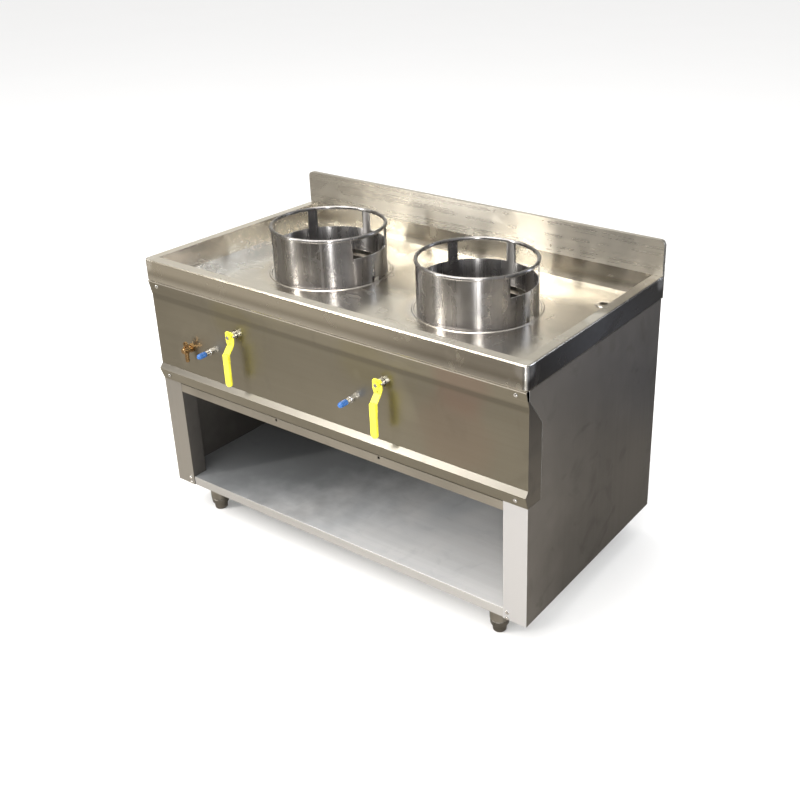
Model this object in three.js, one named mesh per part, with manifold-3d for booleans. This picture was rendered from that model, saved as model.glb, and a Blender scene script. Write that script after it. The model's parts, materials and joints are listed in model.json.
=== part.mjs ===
// Two-burner wok range: a folded stainless body on four legs, a recessed worktop with a raised
// back, two lift-off wok rings over cast burners, ball valves with long levers on the front
// panel, pilot cocks and a small brass water cock.
// Units are millimetres, +X right, +Y back, +Z up. Inside this file y = 0 is the front face of
// the worktop edge; the exported group is centred on the floor under the middle of the part.

import * as THREE from 'three';
import { mergeVertices } from 'three/addons/utils/BufferGeometryUtils.js';
import Module from 'manifold-3d';

const wasm = await Module();
wasm.setup();

// ---- Driving dimensions -------------------------------------------------------------------

const RANGE_W = 1200; // worktop, left to right
const RANGE_D = 650; // front edge of the worktop to the back of the splash
const FOOT_H = 85; // floor to the underside of the body
const BODY_H = 680; // underside of the body to the top of the worktop rim

const GAP = 0.3; // seat between touching pieces
const SEAM = 0.6; // visible seam between neighbouring panels
const TOP_SHEET = 2; // worktop sheet
const SHEET = 1.5; // body sheet

const SKIRT_H = 62; // height of the worktop edge
const EDGE_R = 5; // rounding along the worktop edge
const PLAN_R = 9; // rounding of its corners seen from above
const SKIRT_LIP = 12; // return under the skirt
const RIM_FLANGE = 28; // flat rim round the pan
const PAN_DEPTH = 60;
const PAN_DRAFT = 6; // the pan's walls lean in by this much
const SPLASH_H = 94; // above the rim
const SPLASH_T = 13;
const SPLASH_REAR = 6; // thickness of the leg that hangs behind the worktop
const SPLASH_R = 14; // its top corners

const SIDE_INSET = 2; // body sides inside the worktop edge
const FRONT_INSET = 12; // posts and panel face behind the worktop edge
const REAR_INSET = 7; // rear flanges of the sides in front of the splash back
const POST_W = 66;
const POST_RETURN = 45;
const REAR_FLANGE = 25;
const END_FLANGE = 22; // top and bottom flanges of the sides

const PANEL_TOP_Y = 2; // front panel: setback of its top edge
const BAND_H = 41; // sloped band under the worktop
const PANEL_LIP = 18; // return at the top and bottom of the panel
const BEAD_TOP = 308; // below the rim: where the drip bead leaves the face
const BEAD_TIP = 321;
const BEAD_END = 354;
const BEAD_TIP_Y = 1;
const PANEL_WRAP = 54; // depth of the panel's side flanges
const WRAP_TOP = 160; // below the rim: top of the full-depth part of the side flange
const WRAP_POINT = 86; // below the rim: where its slanted end meets the front

const RAIL_END = 380; // below the rim: bottom of the cross rail
const RAIL_SHELF = 46; // depth of its bottom flange
const RAIL_HOLE_X = 171;
const RAIL_HOLE_R = 4;
const TRAY_UPTURN = 14;
const AIR_HOLE_R = 72; // in the tray, under each burner

const SHELF_H = 26; // top of the base shelf above the body's underside
const SHELF_LIP = 12;
const SHELF_UPTURN = 20;
const LIP_INSET = 2; // shelf lip behind the face of the posts
const BASE_RAIL_W = 50;
const BASE_RAIL_T = 2;

const RING_X = 243; // burner centres, left and right of the middle
const RING_Y = 333;
const RING_R = 153; // outside of the wok ring
const RING_WALL = 3;
const RING_RISE = 75; // top of the ring above the rim
const RING_BAR = 5; // radius of the round bar on top
const WINDOW_H = 52;
const WINDOW_ARC = 50; // degrees
const POST_PITCH = 60; // degrees between the ring's windows
const WINDOW_COUNT = 4;
const BURNER_HOLE_R = 138;
const COLLAR_H = 14;
const BEAD_GAP = 6; // pressed bead in the deck, outside the ring
const BEAD_R = 4;
const LUG_W = 16;
const LUG_H = 12;
const LUG_T = 3;
const LUG_GAP = 1;

const WELL_R = 131;
const WELL_DEPTH = 56;
const WELL_FLANGE = 18;
const WELL_LIP = 16;

const BURNER_R = 70;
const BURNER_DROP = 30; // top of the burner casting below the deck
const HUB_R = 33;
const JET_RING_R = 53;
const JET_COUNT = 12;
const INNER_JET_R = 24;
const INNER_JET_COUNT = 4;
const JET_H = 9;
const JET_R = 4.5;
const MIX_R = 16;
const MIX_BORE = 12;
const BELL_R = 27;
const BELL_GAP = 120; // valve axis to the bell mouth
const BRACKET_W = 30;
const BRACKET_SPAN = 96;
const BRACKET_FOOT = 24;
const BRACKET_T = 3;

const VALVE_DROP = 150; // lever axis below the rim
const VALVE_OFFSET = 48; // lever axis left of its burner
const VALVE_SETBACK = 44; // pipe axis behind the panel face
const VALVE_HALF = 24;
const VALVE_R = 17;
const GLAND_R = 10.5;
const GLAND_REACH = 16; // gland in front of the panel
const STEM_R = 5;
const RUN_GAP = 0.3; // radial running clearance
const LEVER_T = 3;
const LEVER_W = 28;
const LEVER_L = 133;
const LEVER_HUB_L = 24; // flat stretch before the crank
const CRANK_L = 19;
const CRANK_OUT = 16;
const GRIP_W = 20;
const GRIP_T = 8;
const LEVER_HEAD = 14; // lever above its axis
const STOP_NOTCH = 7;
const EYE_DROP = 18; // small hole in the hub, below the axis
const EYE_R = 2.5;
const GRIP_BEVEL = 2;
const LEVER_NUT_T = 5;
const LEVER_NUT_R = 9;

const MANIFOLD_DROP = 222; // below the rim; the pilot cocks share this height
const MANIFOLD_R = 17;
const MANIFOLD_CAP = 26; // pipe beyond the left pilot cock
const MANIFOLD_BEND = 50;
const INLET_INSET = 160; // gas inlet in the back, from the right end
const INLET_BORE = 13;
const RISER_R = 13;
const RISER_BEND = 30;
const OUTLET_R = 11;
const OUTLET_BEND = 16;
const INJECTOR_R = 5;
const INJECTOR_L = 16;

const KNOB_OFFSET = 98; // pilot cock left of the lever
const PILOT_R = 7;
const PILOT_NUT_R = 9.5;
const PILOT_NUT_T = 7;
const PILOT_REACH = 20; // barrel in front of the panel
const PILOT_SPINDLE_R = 2.5;
const SPINDLE_L = 10;
const KNOB_R = 7.5;
const KNOB_L = 26;
const KNOB_FLUTES = 8;
const PILOT_TUBE_R = 3;
const PILOT_TUBE_BEND = 14;
const PILOT_DIP = 34; // pilot tube below the manifold axis
const PILOT_GAP = 8; // pilot tube beside the mixing tube

const COCK_DROP = 231; // brass cock below the rim
const COCK_OFFSET = 176; // brass cock left of the left lever
const COCK_R = 8;
const COCK_FLANGE_R = 13;
const COCK_FLANGE_T = 4;
const COCK_REACH = 30;
const COCK_BARREL_R = 9.5;
const SPOUT_R = 5.5;
const SPOUT_L = 26;
const KEY_R = 7;
const KEY_EYE = 3;
const KEY_T = 5;
const KEY_STEM_R = 4;
const WATER_R = 7;

const DRAIN_INSET = 102; // drain from the right end
const DRAIN_REAR = 130; // drain from the back
const DRAIN_R = 14.5;
const STRAINER_R = 22;
const STRAINER_T = 2;
const STRAINER_CUP = 12;
const STRAINER_WALL = 1.5;
const DRAIN_PIPE_R = 16;
const DRAIN_PIPE_BORE = 13.6;
const DRAIN_FLANGE_R = 25;
const DRAIN_DROP = 60;
const DRAIN_BEND = 24;

const LEG_SIDE = 108; // leg centres from the sides of the body
const LEG_INSET = 50; // leg centres from the front and back of the body
const LEG_R = 25;
const LEG_PLATE = 72;
const LEG_PLATE_T = 3;
const LEG_SLEEVE = 46;
const LEG_BORE_WALL = 3;
const FOOT_R = 17;
const FOOT_STEM_R = 8;
const FOOT_STEM_L = 30;

const SCREW_R = 5.5;
const SCREW_T = 3;
const SHANK_R = 2.2;
const SHANK_L = 9;
const SHANK_GAP = 0.4;
const SCREW_X = 30; // corner screws from the body's sides
const BASE_SCREW_X = 53;
const BASE_SCREW_PITCH = 16;

// ---- Places worked out from them -------------------------------------------------------------

const RIM_Z = FOOT_H + BODY_H;
const SKIRT_Z = RIM_Z - SKIRT_H;
const DECK_Z = RIM_Z - PAN_DEPTH;
const TOP_D = RANGE_D - SPLASH_REAR - GAP;
const SIDE_X = RANGE_W / 2 - SIDE_INSET;
const POST_X = SIDE_X - POST_W;
const FACE_Y = FRONT_INSET;
const BACK_Y = RANGE_D - REAR_INSET;
const SIDE_TOP = SKIRT_Z - GAP;
const PANEL_END = RIM_Z - BEAD_END;
const RAIL_Z = RIM_Z - RAIL_END;
const SHELF_Z = FOOT_H + SHELF_H;
const TRAY_Z = RAIL_Z + SHEET + GAP;
const VALVE_Z = RIM_Z - VALVE_DROP;
const VALVE_Y = FACE_Y + VALVE_SETBACK;
const MANIFOLD_Z = RIM_Z - MANIFOLD_DROP;
const BURNER_Z = DECK_Z - BURNER_DROP;
const GLAND_Y = FACE_Y - GLAND_REACH;
const LEVER_Y = GLAND_Y - GAP;
const LEVER_FRONT = LEVER_Y - CRANK_OUT - GRIP_T;
const KNOB_FRONT = FACE_Y - PILOT_REACH - GAP - KNOB_L;
const FRONT_Y = Math.min(LEVER_FRONT, KNOB_FRONT);
const DRAIN_X = RANGE_W / 2 - DRAIN_INSET;
const DRAIN_Y = RANGE_D - DRAIN_REAR;
const DRAIN_Z = DECK_Z - TOP_SHEET - DRAIN_DROP;
const COCK_Z = RIM_Z - COCK_DROP;
const SIDES = { left: -1, right: 1 };
const valveX = (side) => side * RING_X - VALVE_OFFSET;
const knobX = (side) => valveX(side) - KNOB_OFFSET;
const COCK_X = valveX(SIDES.left) - COCK_OFFSET;
const INLET_X = RANGE_W / 2 - INLET_INSET;
const LEG_X = SIDE_X - LEG_SIDE;

// ---- Finishes --------------------------------------------------------------------------------

const finish = (color, roughness, metalness) => () =>
  new THREE.MeshStandardMaterial({ color, roughness, metalness });
const brushed = finish(0xb4aea2, 0.38, 0.9);
const panelSteel = finish(0x8f887c, 0.42, 0.85);
const sideSteel = finish(0x6f6861, 0.45, 0.8);
const polished = finish(0xc9c8c6, 0.16, 1);
const darkSteel = finish(0x5c5a58, 0.5, 0.8);
const castIron = finish(0x2f2e2d, 0.75, 0.5);
const pipeSteel = finish(0x8a8985, 0.5, 0.8);
const yellow = finish(0xe8dc2a, 0.45, 0);
const blue = finish(0x2f66b5, 0.4, 0);
const chrome = finish(0xd8d9db, 0.12, 1);
const brass = finish(0xb98b3e, 0.3, 1);
const copper = finish(0xa9693f, 0.35, 1);

// ---- Solids ----------------------------------------------------------------------------------

function toSolid(geometry) {
  const bare = geometry.clone();
  bare.deleteAttribute('normal');
  bare.deleteAttribute('uv');
  const merged = mergeVertices(bare, 1e-4);
  return new wasm.Manifold(
    new wasm.Mesh({
      numProp: 3,
      vertProperties: new Float32Array(merged.attributes.position.array),
      triVerts: new Uint32Array(merged.index.array),
    }),
  );
}

function toGeometry(solid) {
  const mesh = solid.getMesh();
  const geometry = new THREE.BufferGeometry();
  geometry.setAttribute('position', new THREE.BufferAttribute(mesh.vertProperties, 3));
  geometry.setIndex(new THREE.BufferAttribute(mesh.triVerts, 1));
  return geometry;
}

function join(...geometries) {
  return toGeometry(geometries.map(toSolid).reduce((a, b) => a.add(b)));
}

function cut(geometry, ...tools) {
  return toGeometry(tools.map(toSolid).reduce((a, b) => a.subtract(b), toSolid(geometry)));
}

function box(x0, x1, y0, y1, z0, z1) {
  return new THREE.BoxGeometry(x1 - x0, y1 - y0, z1 - z0).translate(
    (x0 + x1) / 2,
    (y0 + y1) / 2,
    (z0 + z1) / 2,
  );
}

const AXES = {
  x: [new THREE.Vector3(0, 1, 0), new THREE.Vector3(0, 0, 1), new THREE.Vector3(1, 0, 0)],
  y: [new THREE.Vector3(0, 0, 1), new THREE.Vector3(1, 0, 0), new THREE.Vector3(0, 1, 0)],
  z: [new THREE.Vector3(1, 0, 0), new THREE.Vector3(0, 1, 0), new THREE.Vector3(0, 0, 1)],
};

// A section drawn in the two axes after the named one (x: y-z, y: z-x, z: x-y), run along it.
function prism(axis, shape, from, to, options = {}) {
  const geometry = new THREE.ExtrudeGeometry(shape, {
    depth: to - from,
    bevelEnabled: false,
    ...options,
  });
  geometry.translate(0, 0, from);
  return geometry.applyMatrix4(new THREE.Matrix4().makeBasis(...AXES[axis]));
}

function polygon(points) {
  return new THREE.Shape(points.map(([a, b]) => new THREE.Vector2(a, b)));
}

// The section of a folded sheet: its outer face follows the points, its thickness lies to the left.
function folded(points, thickness) {
  const path = points.map(([a, b]) => new THREE.Vector2(a, b));
  const normals = path.slice(1).map((p, i) => {
    const run = p.clone().sub(path[i]).normalize();
    return new THREE.Vector2(-run.y, run.x);
  });
  const inner = path.map((p, i) => {
    const before = normals[Math.max(i - 1, 0)];
    const after = normals[Math.min(i, normals.length - 1)];
    const mitre = before.clone().add(after);
    return p.clone().addScaledVector(mitre, thickness / (1 + before.dot(after)));
  });
  return new THREE.Shape([...path, ...inner.reverse()]);
}

function roundedRect(x0, x1, y0, y1, radii) {
  const [r00, r10, r11, r01] = radii;
  const shape = new THREE.Shape();
  shape.moveTo(x0 + r00, y0);
  shape.lineTo(x1 - r10, y0);
  if (r10) shape.absarc(x1 - r10, y0 + r10, r10, -Math.PI / 2, 0);
  shape.lineTo(x1, y1 - r11);
  if (r11) shape.absarc(x1 - r11, y1 - r11, r11, 0, Math.PI / 2);
  shape.lineTo(x0 + r01, y1);
  if (r01) shape.absarc(x0 + r01, y1 - r01, r01, Math.PI / 2, Math.PI);
  shape.lineTo(x0, y0 + r00);
  if (r00) shape.absarc(x0 + r00, y0 + r00, r00, Math.PI, Math.PI * 1.5);
  return shape;
}

// A four-sided block between two level rectangles [x0, x1, y0, y1] at z0 and z1.
function loft(low, z0, high, z1) {
  const ring = ([x0, x1, y0, y1], z) => [x0, y0, z, x1, y0, z, x1, y1, z, x0, y1, z];
  const geometry = new THREE.BufferGeometry();
  const corners = new Float32Array([...ring(low, z0), ...ring(high, z1)]);
  geometry.setAttribute('position', new THREE.BufferAttribute(corners, 3));
  const walls = [0, 1, 2, 3].flatMap((i) => {
    const next = (i + 1) % 4;
    return [i, next, next + 4, i, next + 4, i + 4];
  });
  geometry.setIndex([0, 2, 1, 0, 3, 2, 4, 5, 6, 4, 6, 7, ...walls]);
  return geometry;
}

// A profile of [radius, height] pairs turned round the named axis through the origin.
function turned(axis, profile, sides) {
  const points = profile.map(([r, h]) => new THREE.Vector2(r, h));
  const closed = profile[0][0] > 0 ? [...points, points[0]] : points;
  const lathe = new THREE.LatheGeometry(closed, sides);
  if (axis === 'z') return lathe.rotateX(Math.PI / 2);
  if (axis === 'x') return lathe.rotateZ(-Math.PI / 2);
  return lathe;
}

function disc(axis, radius, from, to, sides) {
  return turned(axis, [[0, from], [radius, from], [radius, to], [0, to]], sides);
}

function tubeWall(axis, outer, inner, from, to, sides) {
  return turned(axis, [[inner, from], [outer, from], [outer, to], [inner, to]], sides);
}

// A run of straight pieces, stepped through knot by knot.
class Route extends THREE.Curve {
  constructor(knots) {
    super();
    this.knots = knots;
  }

  getUtoTmapping(u) {
    return u;
  }

  getPoint(t, target = new THREE.Vector3()) {
    const at = t * (this.knots.length - 1);
    const i = Math.min(Math.floor(at), this.knots.length - 2);
    return target.lerpVectors(this.knots[i], this.knots[i + 1], at - i);
  }
}

// A round bar along straight runs joined by bends.
function pipe(corners, radius, bend, sides) {
  const points = corners.map((c) => new THREE.Vector3(...c));
  const knots = [points[0]];
  points.slice(1, -1).forEach((corner, i) => {
    const enter = corner.clone().lerp(points[i], bend / corner.distanceTo(points[i]));
    const leave = corner.clone().lerp(points[i + 2], bend / corner.distanceTo(points[i + 2]));
    const pull = (end) => corner.clone().lerp(end, 1 - BEND_PULL);
    const curve = new THREE.CubicBezierCurve3(enter, pull(enter), pull(leave), leave);
    knots.push(...curve.getPoints(BEND_STEPS));
  });
  knots.push(points.at(-1));
  const section = polygon(
    Array.from({ length: sides }, (_, i) => {
      const turn = (2 * Math.PI * i) / sides;
      return [radius * Math.cos(turn), radius * Math.sin(turn)];
    }),
  );
  const route = new Route(knots);
  return new THREE.ExtrudeGeometry(section, { steps: knots.length - 1, extrudePath: route });
}

const SMOOTH = 48; // sides of the large rounds
const ROUND = 20;
const SMALL = 10;
const BEND_STEPS = 5;
const BEND_PULL = 0.5523; // quarter circle as one cubic curve

// ---- The model -------------------------------------------------------------------------------

const range = new THREE.Group();
const assembly = new THREE.Group();
assembly.position.y = -(FRONT_Y + RANGE_D) / 2;
range.add(assembly);

function place(name, geometry, material, x = 0, y = 0, z = 0, parent = assembly) {
  const mesh = new THREE.Mesh(geometry, material());
  mesh.name = name;
  mesh.position.set(x, y, z);
  parent.add(mesh);
  return mesh;
}

// Worktop: one pressing with a rounded skirt, a flat rim and a recessed pan. Each burner hole has
// an upturned collar, a pressed bead and two lugs that keep the wok ring in place.
function worktop() {
  const half = RANGE_W / 2;
  const plan = roundedRect(
    -half + EDGE_R,
    half - EDGE_R,
    EDGE_R,
    TOP_D - EDGE_R,
    [PLAN_R, PLAN_R, 0, 0],
  );
  const block = prism('z', plan, SKIRT_Z + EDGE_R, RIM_Z - EDGE_R, {
    bevelEnabled: true,
    bevelSize: EDGE_R,
    bevelThickness: EDGE_R,
    bevelSegments: 3,
    curveSegments: 4,
  });
  const rearWall = RANGE_D - SPLASH_T;
  const recess = (grow) => {
    const top = [-half + RIM_FLANGE, half - RIM_FLANGE, RIM_FLANGE, rearWall];
    const spread = (rect, by) => [rect[0] - by, rect[1] + by, rect[2] - by, rect[3] + by];
    return loft(spread(top, grow - PAN_DRAFT), DECK_Z, spread(top, grow), RIM_Z + GAP);
  };
  const channelTop = RIM_Z - TOP_SHEET;
  const channelFloor = SKIRT_Z + TOP_SHEET;
  const channel = join(
    box(
      -half + TOP_SHEET,
      half - TOP_SHEET,
      TOP_SHEET,
      TOP_D - TOP_SHEET,
      channelFloor,
      channelTop,
    ),
    box(
      -half + SKIRT_LIP,
      half - SKIRT_LIP,
      SKIRT_LIP,
      TOP_D - TOP_SHEET,
      SKIRT_Z - TOP_SHEET,
      channelFloor + GAP,
    ),
  );
  const panShell = join(
    recess(TOP_SHEET),
    box(
      -half + RIM_FLANGE - TOP_SHEET + PAN_DRAFT,
      half - RIM_FLANGE + TOP_SHEET - PAN_DRAFT,
      RIM_FLANGE - TOP_SHEET + PAN_DRAFT,
      rearWall + TOP_SHEET - PAN_DRAFT,
      DECK_Z - TOP_SHEET,
      DECK_Z + GAP,
    ),
  );
  let top = cut(block, cut(channel, panShell), recess(0));
  for (const side of Object.values(SIDES)) {
    const at = (geometry) => geometry.translate(side * RING_X, RING_Y, 0);
    const low = DECK_Z - TOP_SHEET;
    const beadR = RING_R + BEAD_GAP + BEAD_R;
    const lugX = RING_R + RING_BAR / 2 + LUG_GAP;
    top = join(
      cut(top, at(disc('z', BURNER_HOLE_R, low - GAP, DECK_Z + GAP, SMOOTH))),
      at(
        tubeWall('z', BURNER_HOLE_R + TOP_SHEET, BURNER_HOLE_R, low, DECK_Z + COLLAR_H, SMOOTH),
      ),
      at(
        turned(
          'z',
          [
            [beadR - BEAD_R, DECK_Z - TOP_SHEET / 2],
            [beadR + BEAD_R, DECK_Z - TOP_SHEET / 2],
            [beadR + BEAD_R, DECK_Z],
            [beadR + BEAD_R / 2, DECK_Z + BEAD_R / 2],
            [beadR - BEAD_R / 2, DECK_Z + BEAD_R / 2],
            [beadR - BEAD_R, DECK_Z],
          ],
          SMOOTH,
        ),
      ),
      ...Object.values(SIDES).map((end) =>
        at(
          box(
            Math.min(end * lugX, end * (lugX + LUG_T)),
            Math.max(end * lugX, end * (lugX + LUG_T)),
            -LUG_W / 2,
            LUG_W / 2,
            DECK_Z - TOP_SHEET / 2,
            DECK_Z + LUG_H,
          ),
        ),
      ),
    );
  }
  const drain = disc('z', DRAIN_R, DECK_Z - TOP_SHEET - GAP, DECK_Z + GAP, ROUND);
  place('worktop', cut(top, drain.translate(DRAIN_X, DRAIN_Y, 0)), brushed);
}

// Splash: a hollow upstand folded from sheet, standing on the rear flange of the worktop, with a
// leg that hangs down behind it.
function backsplash() {
  const half = RANGE_W / 2 - SIDE_INSET / 2;
  const low = RIM_Z + GAP;
  const high = RIM_Z + SPLASH_H;
  const elevation = (inset, from) => {
    const radius = SPLASH_R - inset;
    const shape = roundedRect(
      -half + inset,
      half - inset,
      from,
      high - inset,
      [0, 0, radius, radius],
    );
    return new THREE.Shape(shape.getPoints(5).map((p) => new THREE.Vector2(p.y, p.x)).reverse());
  };
  const front = RANGE_D - SPLASH_T;
  const upstand = prism('y', elevation(0, low), front, RANGE_D);
  const leg = box(-half, half, RANGE_D - SPLASH_REAR, RANGE_D, SKIRT_Z, low + SPLASH_R);
  const hollow = prism('y', elevation(SHEET, low - GAP), front + SHEET, RANGE_D - SHEET);
  const legHollow = box(
    -half + SHEET,
    half - SHEET,
    RANGE_D - SPLASH_REAR + SHEET,
    RANGE_D - SHEET,
    SKIRT_Z - GAP,
    low + SPLASH_R,
  );
  place('backsplash', cut(join(upstand, leg), hollow, legHollow), brushed);
}

// Outline of the front panel's side flange, y-z, grown by a seam: the side has the same notch.
function wrapOutline(grow) {
  const back = FACE_Y + PANEL_WRAP + grow;
  const low = PANEL_END - grow;
  return polygon([
    [FACE_Y - BEAD_R * 3, low],
    [back, low],
    [back, RIM_Z - WRAP_TOP + grow / 2],
    [FACE_Y + grow, RIM_Z - WRAP_POINT + grow],
    [FACE_Y - BEAD_R * 3, RIM_Z - WRAP_POINT + grow],
  ]);
}

// Sides: a sheet whose front is folded into a post with a return, and whose other edges have
// flanges. The upper front is notched for the side flange of the front panel.
function sidePanel(name, side) {
  const plan = folded(
    [
      [SIDE_X - REAR_FLANGE, BACK_Y],
      [SIDE_X, BACK_Y],
      [SIDE_X, FACE_Y],
      [POST_X, FACE_Y],
      [POST_X, FACE_Y + POST_RETURN],
    ].reverse(),
    SHEET,
  );
  const sheet = prism('z', plan, FOOT_H, SIDE_TOP);
  const inner = SIDE_X - END_FLANGE;
  const flange = (z) =>
    box(inner, SIDE_X - SHEET / 2, FACE_Y + POST_RETURN + GAP, BACK_Y - SHEET / 2, z, z + SHEET);
  const notch = prism('x', wrapOutline(SEAM), SIDE_X - SHEET - GAP, SIDE_X + GAP);
  const postTop = box(
    POST_X - GAP,
    SIDE_X - SHEET,
    FACE_Y - GAP,
    FACE_Y + POST_RETURN + GAP,
    PANEL_END - GAP,
    RIM_Z,
  );
  const topFront = box(
    SIDE_X - SHEET - GAP,
    SIDE_X + GAP,
    FACE_Y - GAP,
    FACE_Y + SHEET + GAP,
    PANEL_END,
    RIM_Z,
  );
  const holes = baseScrews().map(([x, z]) =>
    disc('y', SHANK_R + SHANK_GAP, FACE_Y - GAP, FACE_Y + SHEET + GAP, SMALL).translate(x, 0, z),
  );
  const right = cut(
    join(sheet, flange(FOOT_H), flange(SIDE_TOP - SHEET)),
    notch,
    postTop,
    topFront,
    ...holes,
  );
  place(name, side > 0 ? right : mirrored(right), sideSteel);
}

function mirrored(geometry) {
  const copy = geometry.clone().scale(-1, 1, 1);
  const index = copy.index.array.slice();
  for (let i = 0; i < index.length; i += 3) [index[i], index[i + 1]] = [index[i + 1], index[i]];
  copy.setIndex(new THREE.BufferAttribute(index, 1));
  return copy;
}

// Back: a flat sheet inside the rear flanges of the sides, with holes for the three pipes.
function backPanel() {
  const half = SIDE_X - SHEET - GAP;
  const back = BACK_Y - SHEET - GAP;
  const hole = (x, z, radius) =>
    disc('y', radius + 2, back - SHEET - GAP, back + GAP, ROUND).translate(x, 0, z);
  place(
    'back_panel',
    cut(
      box(-half, half, back - SHEET, back, FOOT_H + SHEET + GAP, SIDE_TOP - SHEET - GAP),
      hole(INLET_X, MANIFOLD_Z, MANIFOLD_R),
      hole(COCK_X, COCK_Z, WATER_R),
      hole(DRAIN_X, DRAIN_Z, DRAIN_PIPE_R),
    ),
    sideSteel,
  );
}

// Front panel: a removable cover with a sloped band at the top, a drip bead along the bottom and a
// flange round each side.
function frontPanel() {
  const half = SIDE_X - SHEET;
  const top = SKIRT_Z - GAP;
  const outline = [
    [PANEL_TOP_Y + PANEL_LIP, top],
    [PANEL_TOP_Y, top],
    [FACE_Y, top - BAND_H],
    [FACE_Y, RIM_Z - BEAD_TOP],
    [BEAD_TIP_Y, RIM_Z - BEAD_TIP],
    [FACE_Y, PANEL_END],
    [FACE_Y + PANEL_LIP, PANEL_END],
  ];
  const sheet = prism('x', folded(outline, SHEET), -half, half);
  const inFront = polygon([
    [PANEL_TOP_Y - PANEL_LIP * 2, top + PANEL_LIP],
    ...outline.slice(1, -1),
    [PANEL_TOP_Y - PANEL_LIP * 2, PANEL_END],
  ]);
  const wrap = (side) => {
    const edges = [side * (SIDE_X - SHEET - GAP), side * SIDE_X].sort((a, b) => a - b);
    return cut(
      prism('x', wrapOutline(0), ...edges),
      prism('x', inFront, -RANGE_W, RANGE_W),
    );
  };
  const hole = (x, z, radius) =>
    disc('y', radius, FACE_Y - GAP, FACE_Y + SHEET + GAP, ROUND).translate(x, 0, z);
  const holes = Object.values(SIDES).flatMap((side) => [
    hole(valveX(side), VALVE_Z, GLAND_R + 1),
    hole(knobX(side), MANIFOLD_Z, PILOT_R + GAP),
  ]);
  const screwHoles = panelScrews().map(({ x, y, z, tilt }) =>
    disc('y', SHANK_R + SHANK_GAP, -SHEET - GAP, SHEET * 3, SMALL).rotateX(tilt).translate(x, y, z),
  );
  place(
    'front_panel',
    cut(
      join(sheet, ...Object.values(SIDES).map(wrap)),
      ...holes,
      hole(COCK_X, COCK_Z, COCK_R + GAP),
      ...screwHoles,
    ),
    panelSteel,
  );
}

// Cross rail between the posts; the burner tray rests on its flange.
function crossRail() {
  const half = POST_X - GAP;
  const section = folded(
    [
      [FACE_Y + PANEL_LIP, PANEL_END - GAP - SHEET],
      [FACE_Y, PANEL_END - GAP - SHEET],
      [FACE_Y, RAIL_Z],
      [FACE_Y + RAIL_SHELF, RAIL_Z],
    ],
    SHEET,
  );
  const lifted = prism('x', section, -half, half);
  const holes = Object.values(SIDES).map((side) =>
    disc('y', RAIL_HOLE_R, FACE_Y - GAP, FACE_Y + SHEET + GAP, SMALL).translate(
      side * RAIL_HOLE_X,
      0,
      PANEL_END - SHEET - RAIL_HOLE_R * 1.6,
    ),
  );
  place('cross_rail', cut(lifted, ...holes), brushed);
}

// A sheet that fills the body behind the posts and reaches forward between them.
function floorSheet(front, z) {
  const behind = FACE_Y + POST_RETURN + GAP;
  const narrow = POST_X - GAP;
  const wide = SIDE_X - SHEET - GAP;
  const back = BACK_Y - SHEET * 2 - GAP * 2;
  return join(
    box(-narrow, narrow, front, behind + SHEET, z - SHEET, z),
    box(-wide, wide, behind, back, z - SHEET, z),
  );
}

// Base shelf: the floor of the open cupboard, with a deep front lip and a rear upturn.
function baseShelf() {
  const front = FACE_Y + LIP_INSET;
  const half = POST_X - GAP;
  const back = BACK_Y - SHEET * 2 - GAP * 2;
  const wide = SIDE_X - SHEET - GAP;
  const lip = prism(
    'x',
    folded(
      [
        [front + SHELF_LIP * 2, SHELF_Z],
        [front, SHELF_Z],
        [front, FOOT_H],
        [front + SHELF_LIP, FOOT_H],
      ],
      SHEET,
    ),
    -half,
    half,
  );
  place(
    'base_shelf',
    join(
      floorSheet(front, SHELF_Z),
      lip,
      box(-wide, wide, back - SHEET, back, SHELF_Z - SHEET, SHELF_Z + SHELF_UPTURN),
    ),
    brushed,
  );
}

// Burner tray: the ceiling of the cupboard, with an air hole under each burner.
function burnerTray() {
  const front = FACE_Y + SHEET + GAP;
  const back = BACK_Y - SHEET * 2 - GAP * 2;
  const half = POST_X - GAP;
  const wide = SIDE_X - SHEET - GAP;
  const top = TRAY_Z + SHEET;
  const holes = Object.values(SIDES).map((side) =>
    disc('z', AIR_HOLE_R, TRAY_Z - GAP, top + GAP, ROUND).translate(side * RING_X, RING_Y, 0),
  );
  place(
    'burner_tray',
    cut(
      join(
        floorSheet(front, top),
        box(-half, half, front, front + SHEET, TRAY_Z, TRAY_Z + TRAY_UPTURN),
        box(-wide, wide, back - SHEET, back, TRAY_Z, TRAY_Z + TRAY_UPTURN),
      ),
      ...holes,
    ),
    darkSteel,
  );
}

// Base rails: channels under the shelf that carry the legs.
function baseRails() {
  const half = POST_X - GAP;
  const top = SHELF_Z - SHEET - GAP;
  const middle = { front: FACE_Y + LEG_INSET, rear: BACK_Y - LEG_INSET };
  for (const [end, y] of Object.entries(middle)) {
    const section = folded(
      [
        [y - BASE_RAIL_W / 2, FOOT_H],
        [y - BASE_RAIL_W / 2, top],
        [y + BASE_RAIL_W / 2, top],
        [y + BASE_RAIL_W / 2, FOOT_H],
      ].reverse(),
      BASE_RAIL_T,
    );
    place(`base_rail_${end}`, prism('x', section, -half, half), darkSteel);
    for (const [name, side] of Object.entries(SIDES)) leg(`${end}_${name}`, side * LEG_X, y);
  }
}

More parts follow.
